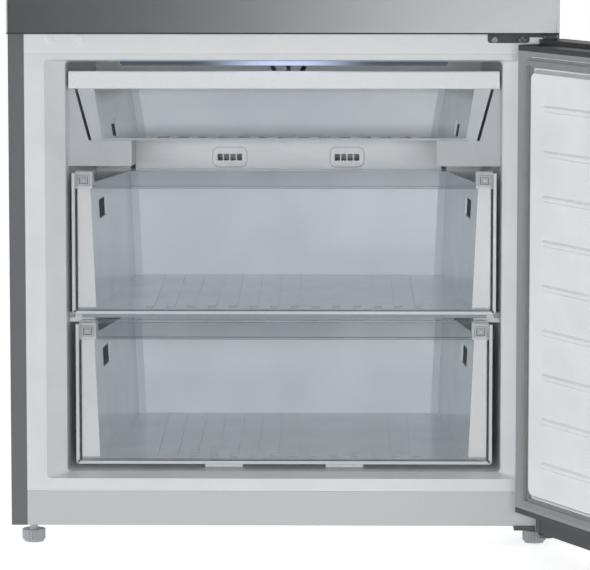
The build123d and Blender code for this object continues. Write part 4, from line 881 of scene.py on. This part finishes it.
class FRIDGE_OT_add_trim_ends(bpy.types.Operator):
    """Add the end caps that take the freezer shelf's trim to the walls"""

    bl_idname = "fridge.add_trim_ends"
    bl_label = "Add trim ends"

    def execute(self, context):
        material = moulded_plastic("Grey trim end plastic", finishes().trim, 0.35)
        low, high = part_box("shelf_trims")
        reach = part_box("drawer_runners")[1].x - high.x
        caps = copies(self.shape_cap(reach), len(SIDES))
        for (side, sign), cap in zip(SIDES, caps):
            place = (sign * (high.x + reach / 2), low.y + TRIM_END[0] / 2, low.z + TRIM_END[1] / 2)
            name = f"shelf_trim_{side}_end"
            settle_piece(cap, name, place, NO_TURN, "cabinet", material)
        return {"FINISHED"}

    def shape_cap(self, reach):
        """A rounded block with a sunk panel in front."""
        cap = start_piece(bpy.ops.mesh.primitive_cube_add, size=1.0)
        bpy.ops.transform.resize(value=(reach, *TRIM_END))
        bpy.ops.mesh.bevel(offset=TRIM_END_EDGE, segments=2)
        pick_faces(cap, lambda face: face.normal.y < -0.9)
        bpy.ops.mesh.inset(thickness=TRIM_END_RIM)
        extrude((0.0, TRIM_END_SINK, 0.0))
        return cap


class FRIDGE_OT_set_stage(bpy.types.Operator):
    """Set the floor, the lights and the camera"""

    bl_idname = "fridge.set_stage"
    bl_label = "Set stage"

    def execute(self, context):
        stage = context.scene.fridge_stage
        self.add_floor()
        self.add_sky(context, stage.sky)
        self.add_lamp("key_lamp", *KEY_LAMP, stage.key)
        self.add_lamp("side_lamp", *SIDE_LAMP, stage.side)
        self.add_flag()
        self.add_camera(context, stage)
        return {"FINISHED"}

    def add_floor(self):
        """A pale floor that keeps the shadow and shows white."""
        place = (0.0, 0.0, -FLOOR_DROP)
        floor = start_piece(bpy.ops.mesh.primitive_plane_add, size=FLOOR_SIZE, location=place)
        floor.name = "studio_floor"
        bpy.ops.mesh.subdivide(number_cuts=4)
        bpy.ops.object.mode_set(mode="OBJECT")
        bpy.ops.object.transform_apply(location=True, rotation=True, scale=True)
        material, tree, shader, coords = start_material("Pale studio paper", {"Roughness": 0.85})
        tint(tree, shader, grain(tree, coords, 5 * MM), linear("EDEDED"), linear("F4F4F4"))
        seen = seen_rays(tree)
        share = add(tree, "ShaderNodeMath", {"operation": "MULTIPLY", 1: FLOOR_GLOW}, {0: seen})
        white = add(tree, "ShaderNodeEmission", None, {"Strength": share.outputs[0]})
        mix = add(
            tree, "ShaderNodeAddShader", None, {0: shader.outputs["BSDF"], 1: white.outputs["Emission"]}
        )
        output = next(node for node in tree.nodes if node.type == "OUTPUT_MATERIAL")
        tree.links.new(mix.outputs["Shader"], output.inputs["Surface"])
        floor.data.materials.append(material)

    def add_sky(self, context, strength):
        """An even room light that the camera, gloss and glass see as white."""
        world = bpy.data.worlds.new("Studio room")
        context.scene.world = world
        world.use_nodes = True
        tree = world.node_tree
        tree.nodes.clear()
        room = add(tree, "ShaderNodeBackground", {"Color": (0.95, 0.97, 1.0, 1.0), "Strength": strength})
        white = add(tree, "ShaderNodeBackground", {"Color": (1.0, 1.0, 1.0, 1.0), "Strength": 1.0})
        mix = add(
            tree, "ShaderNodeMixShader", None,
            {0: seen_rays(tree), 1: room.outputs["Background"], 2: white.outputs["Background"]},
        )
        add(tree, "ShaderNodeOutputWorld", None, {"Surface": mix.outputs["Shader"]})

    def add_lamp(self, name, place, aim, size, power):
        """A soft rectangular lamp that doesn't show in gloss."""
        bpy.ops.object.select_all(action="DESELECT")
        bpy.ops.object.light_add(type="AREA", location=place)
        lamp = bpy.context.active_object
        lamp.name = name
        lamp.data.shape = "RECTANGLE"
        lamp.data.size, lamp.data.size_y = size
        lamp.data.energy = power
        lamp.visible_glossy = False
        turn = (Vector(aim) - Vector(place)).to_track_quat("-Z", "Y")
        lamp.rotation_euler = turn.to_euler()

    def add_flag(self):
        """A grey card behind the camera, with a foot along the floor, that only gloss shows."""
        flag = start_piece(
            bpy.ops.mesh.primitive_plane_add, size=FLAG_SIZE, location=FLAG_PLACE, rotation=UPRIGHT
        )
        flag.name = "studio_flag"
        bpy.ops.object.mode_set(mode="OBJECT")
        bpy.ops.object.transform_apply(location=True, rotation=True, scale=True)
        corners = flag.data.vertices
        middle = FLAG_PLACE[2]
        for edge in flag.data.edges:
            edge.select = all(corners[corner].co.z < middle for corner in edge.vertices)
        for corner in corners:
            corner.select = corner.co.z < middle
        flag.data.polygons[0].select = False
        bpy.ops.object.mode_set(mode="EDIT")
        bpy.ops.mesh.select_mode(type="EDGE")
        extrude((0.0, FLAG_FOOT, 0.0))
        bpy.ops.object.mode_set(mode="OBJECT")
        material, tree, shader, coords = start_material("Grey flag cloth", {"Roughness": 0.95})
        tint(tree, shader, grain(tree, coords, 4 * MM), linear("626262"), linear("6E6E6E"))
        flag.data.materials.append(material)
        flag.visible_camera = False
        flag.visible_diffuse = False
        flag.visible_shadow = False

    def add_camera(self, context, stage):
        """The camera of the photograph."""
        bpy.ops.object.select_all(action="DESELECT")
        turn = (math.pi / 2 - stage.pitch, 0.0, stage.yaw)
        bpy.ops.object.camera_add(location=stage.eye, rotation=turn)
        camera = bpy.context.active_object
        camera.name = "photo_camera"
        camera.data.sensor_width = 36.0
        camera.data.lens = stage.lens
        camera.data.shift_y = stage.shift
        camera.data.clip_end = 100.0
        context.scene.camera = camera
        context.scene.view_settings.view_transform = "Standard"


STEPS = (
    FRIDGE_OT_dress_cabinet,
    FRIDGE_OT_dress_hinges,
    FRIDGE_OT_dress_doors,
    FRIDGE_OT_dress_drawers,
    FRIDGE_OT_dress_cooling,
    FRIDGE_OT_dress_feet,
    FRIDGE_OT_add_hole_shade_cups,
    FRIDGE_OT_add_front_beads,
    FRIDGE_OT_add_front_clips,
    FRIDGE_OT_add_trim_ends,
    FRIDGE_OT_set_stage,
)


class FRIDGE_PT_panel(bpy.types.Panel):
    """Lists the refrigerator's settings and steps"""

    bl_idname = "FRIDGE_PT_panel"
    bl_label = "Refrigerator"
    bl_space_type = "VIEW_3D"
    bl_region_type = "UI"
    bl_category = "Refrigerator"

    def draw(self, context):
        """Shows every setting, then a button for each step."""
        layout = self.layout
        scene = context.scene
        for settings in (scene.fridge_finishes, scene.fridge_details, scene.fridge_stage):
            for name in settings.__annotations__:
                layout.prop(settings, name)
        for step in STEPS:
            layout.operator(step.bl_idname)


CLASSES = (FridgeFinishSettings, FridgeDetailSettings, FridgeStageSettings) + STEPS + (FRIDGE_PT_panel,)


def register():
    """Registers the classes and the scene's settings."""
    for kind in CLASSES:
        bpy.utils.register_class(kind)
    bpy.types.Scene.fridge_finishes = PointerProperty(type=FridgeFinishSettings)
    bpy.types.Scene.fridge_details = PointerProperty(type=FridgeDetailSettings)
    bpy.types.Scene.fridge_stage = PointerProperty(type=FridgeStageSettings)


def unregister():
    """Takes the settings and classes away again."""
    del bpy.types.Scene.fridge_stage
    del bpy.types.Scene.fridge_details
    del bpy.types.Scene.fridge_finishes
    for kind in reversed(CLASSES):
        bpy.utils.unregister_class(kind)


def main():
    """Runs the steps in order."""
    register()
    bpy.ops.fridge.dress_cabinet()
    bpy.ops.fridge.dress_hinges()
    bpy.ops.fridge.dress_doors()
    bpy.ops.fridge.dress_drawers()
    bpy.ops.fridge.dress_cooling()
    bpy.ops.fridge.dress_feet()
    bpy.ops.fridge.add_grip_cups()
    bpy.ops.fridge.add_front_beads()
    bpy.ops.fridge.add_front_clips()
    bpy.ops.fridge.add_trim_ends()
    bpy.ops.fridge.set_stage()


if __name__ == "__main__":
    main()
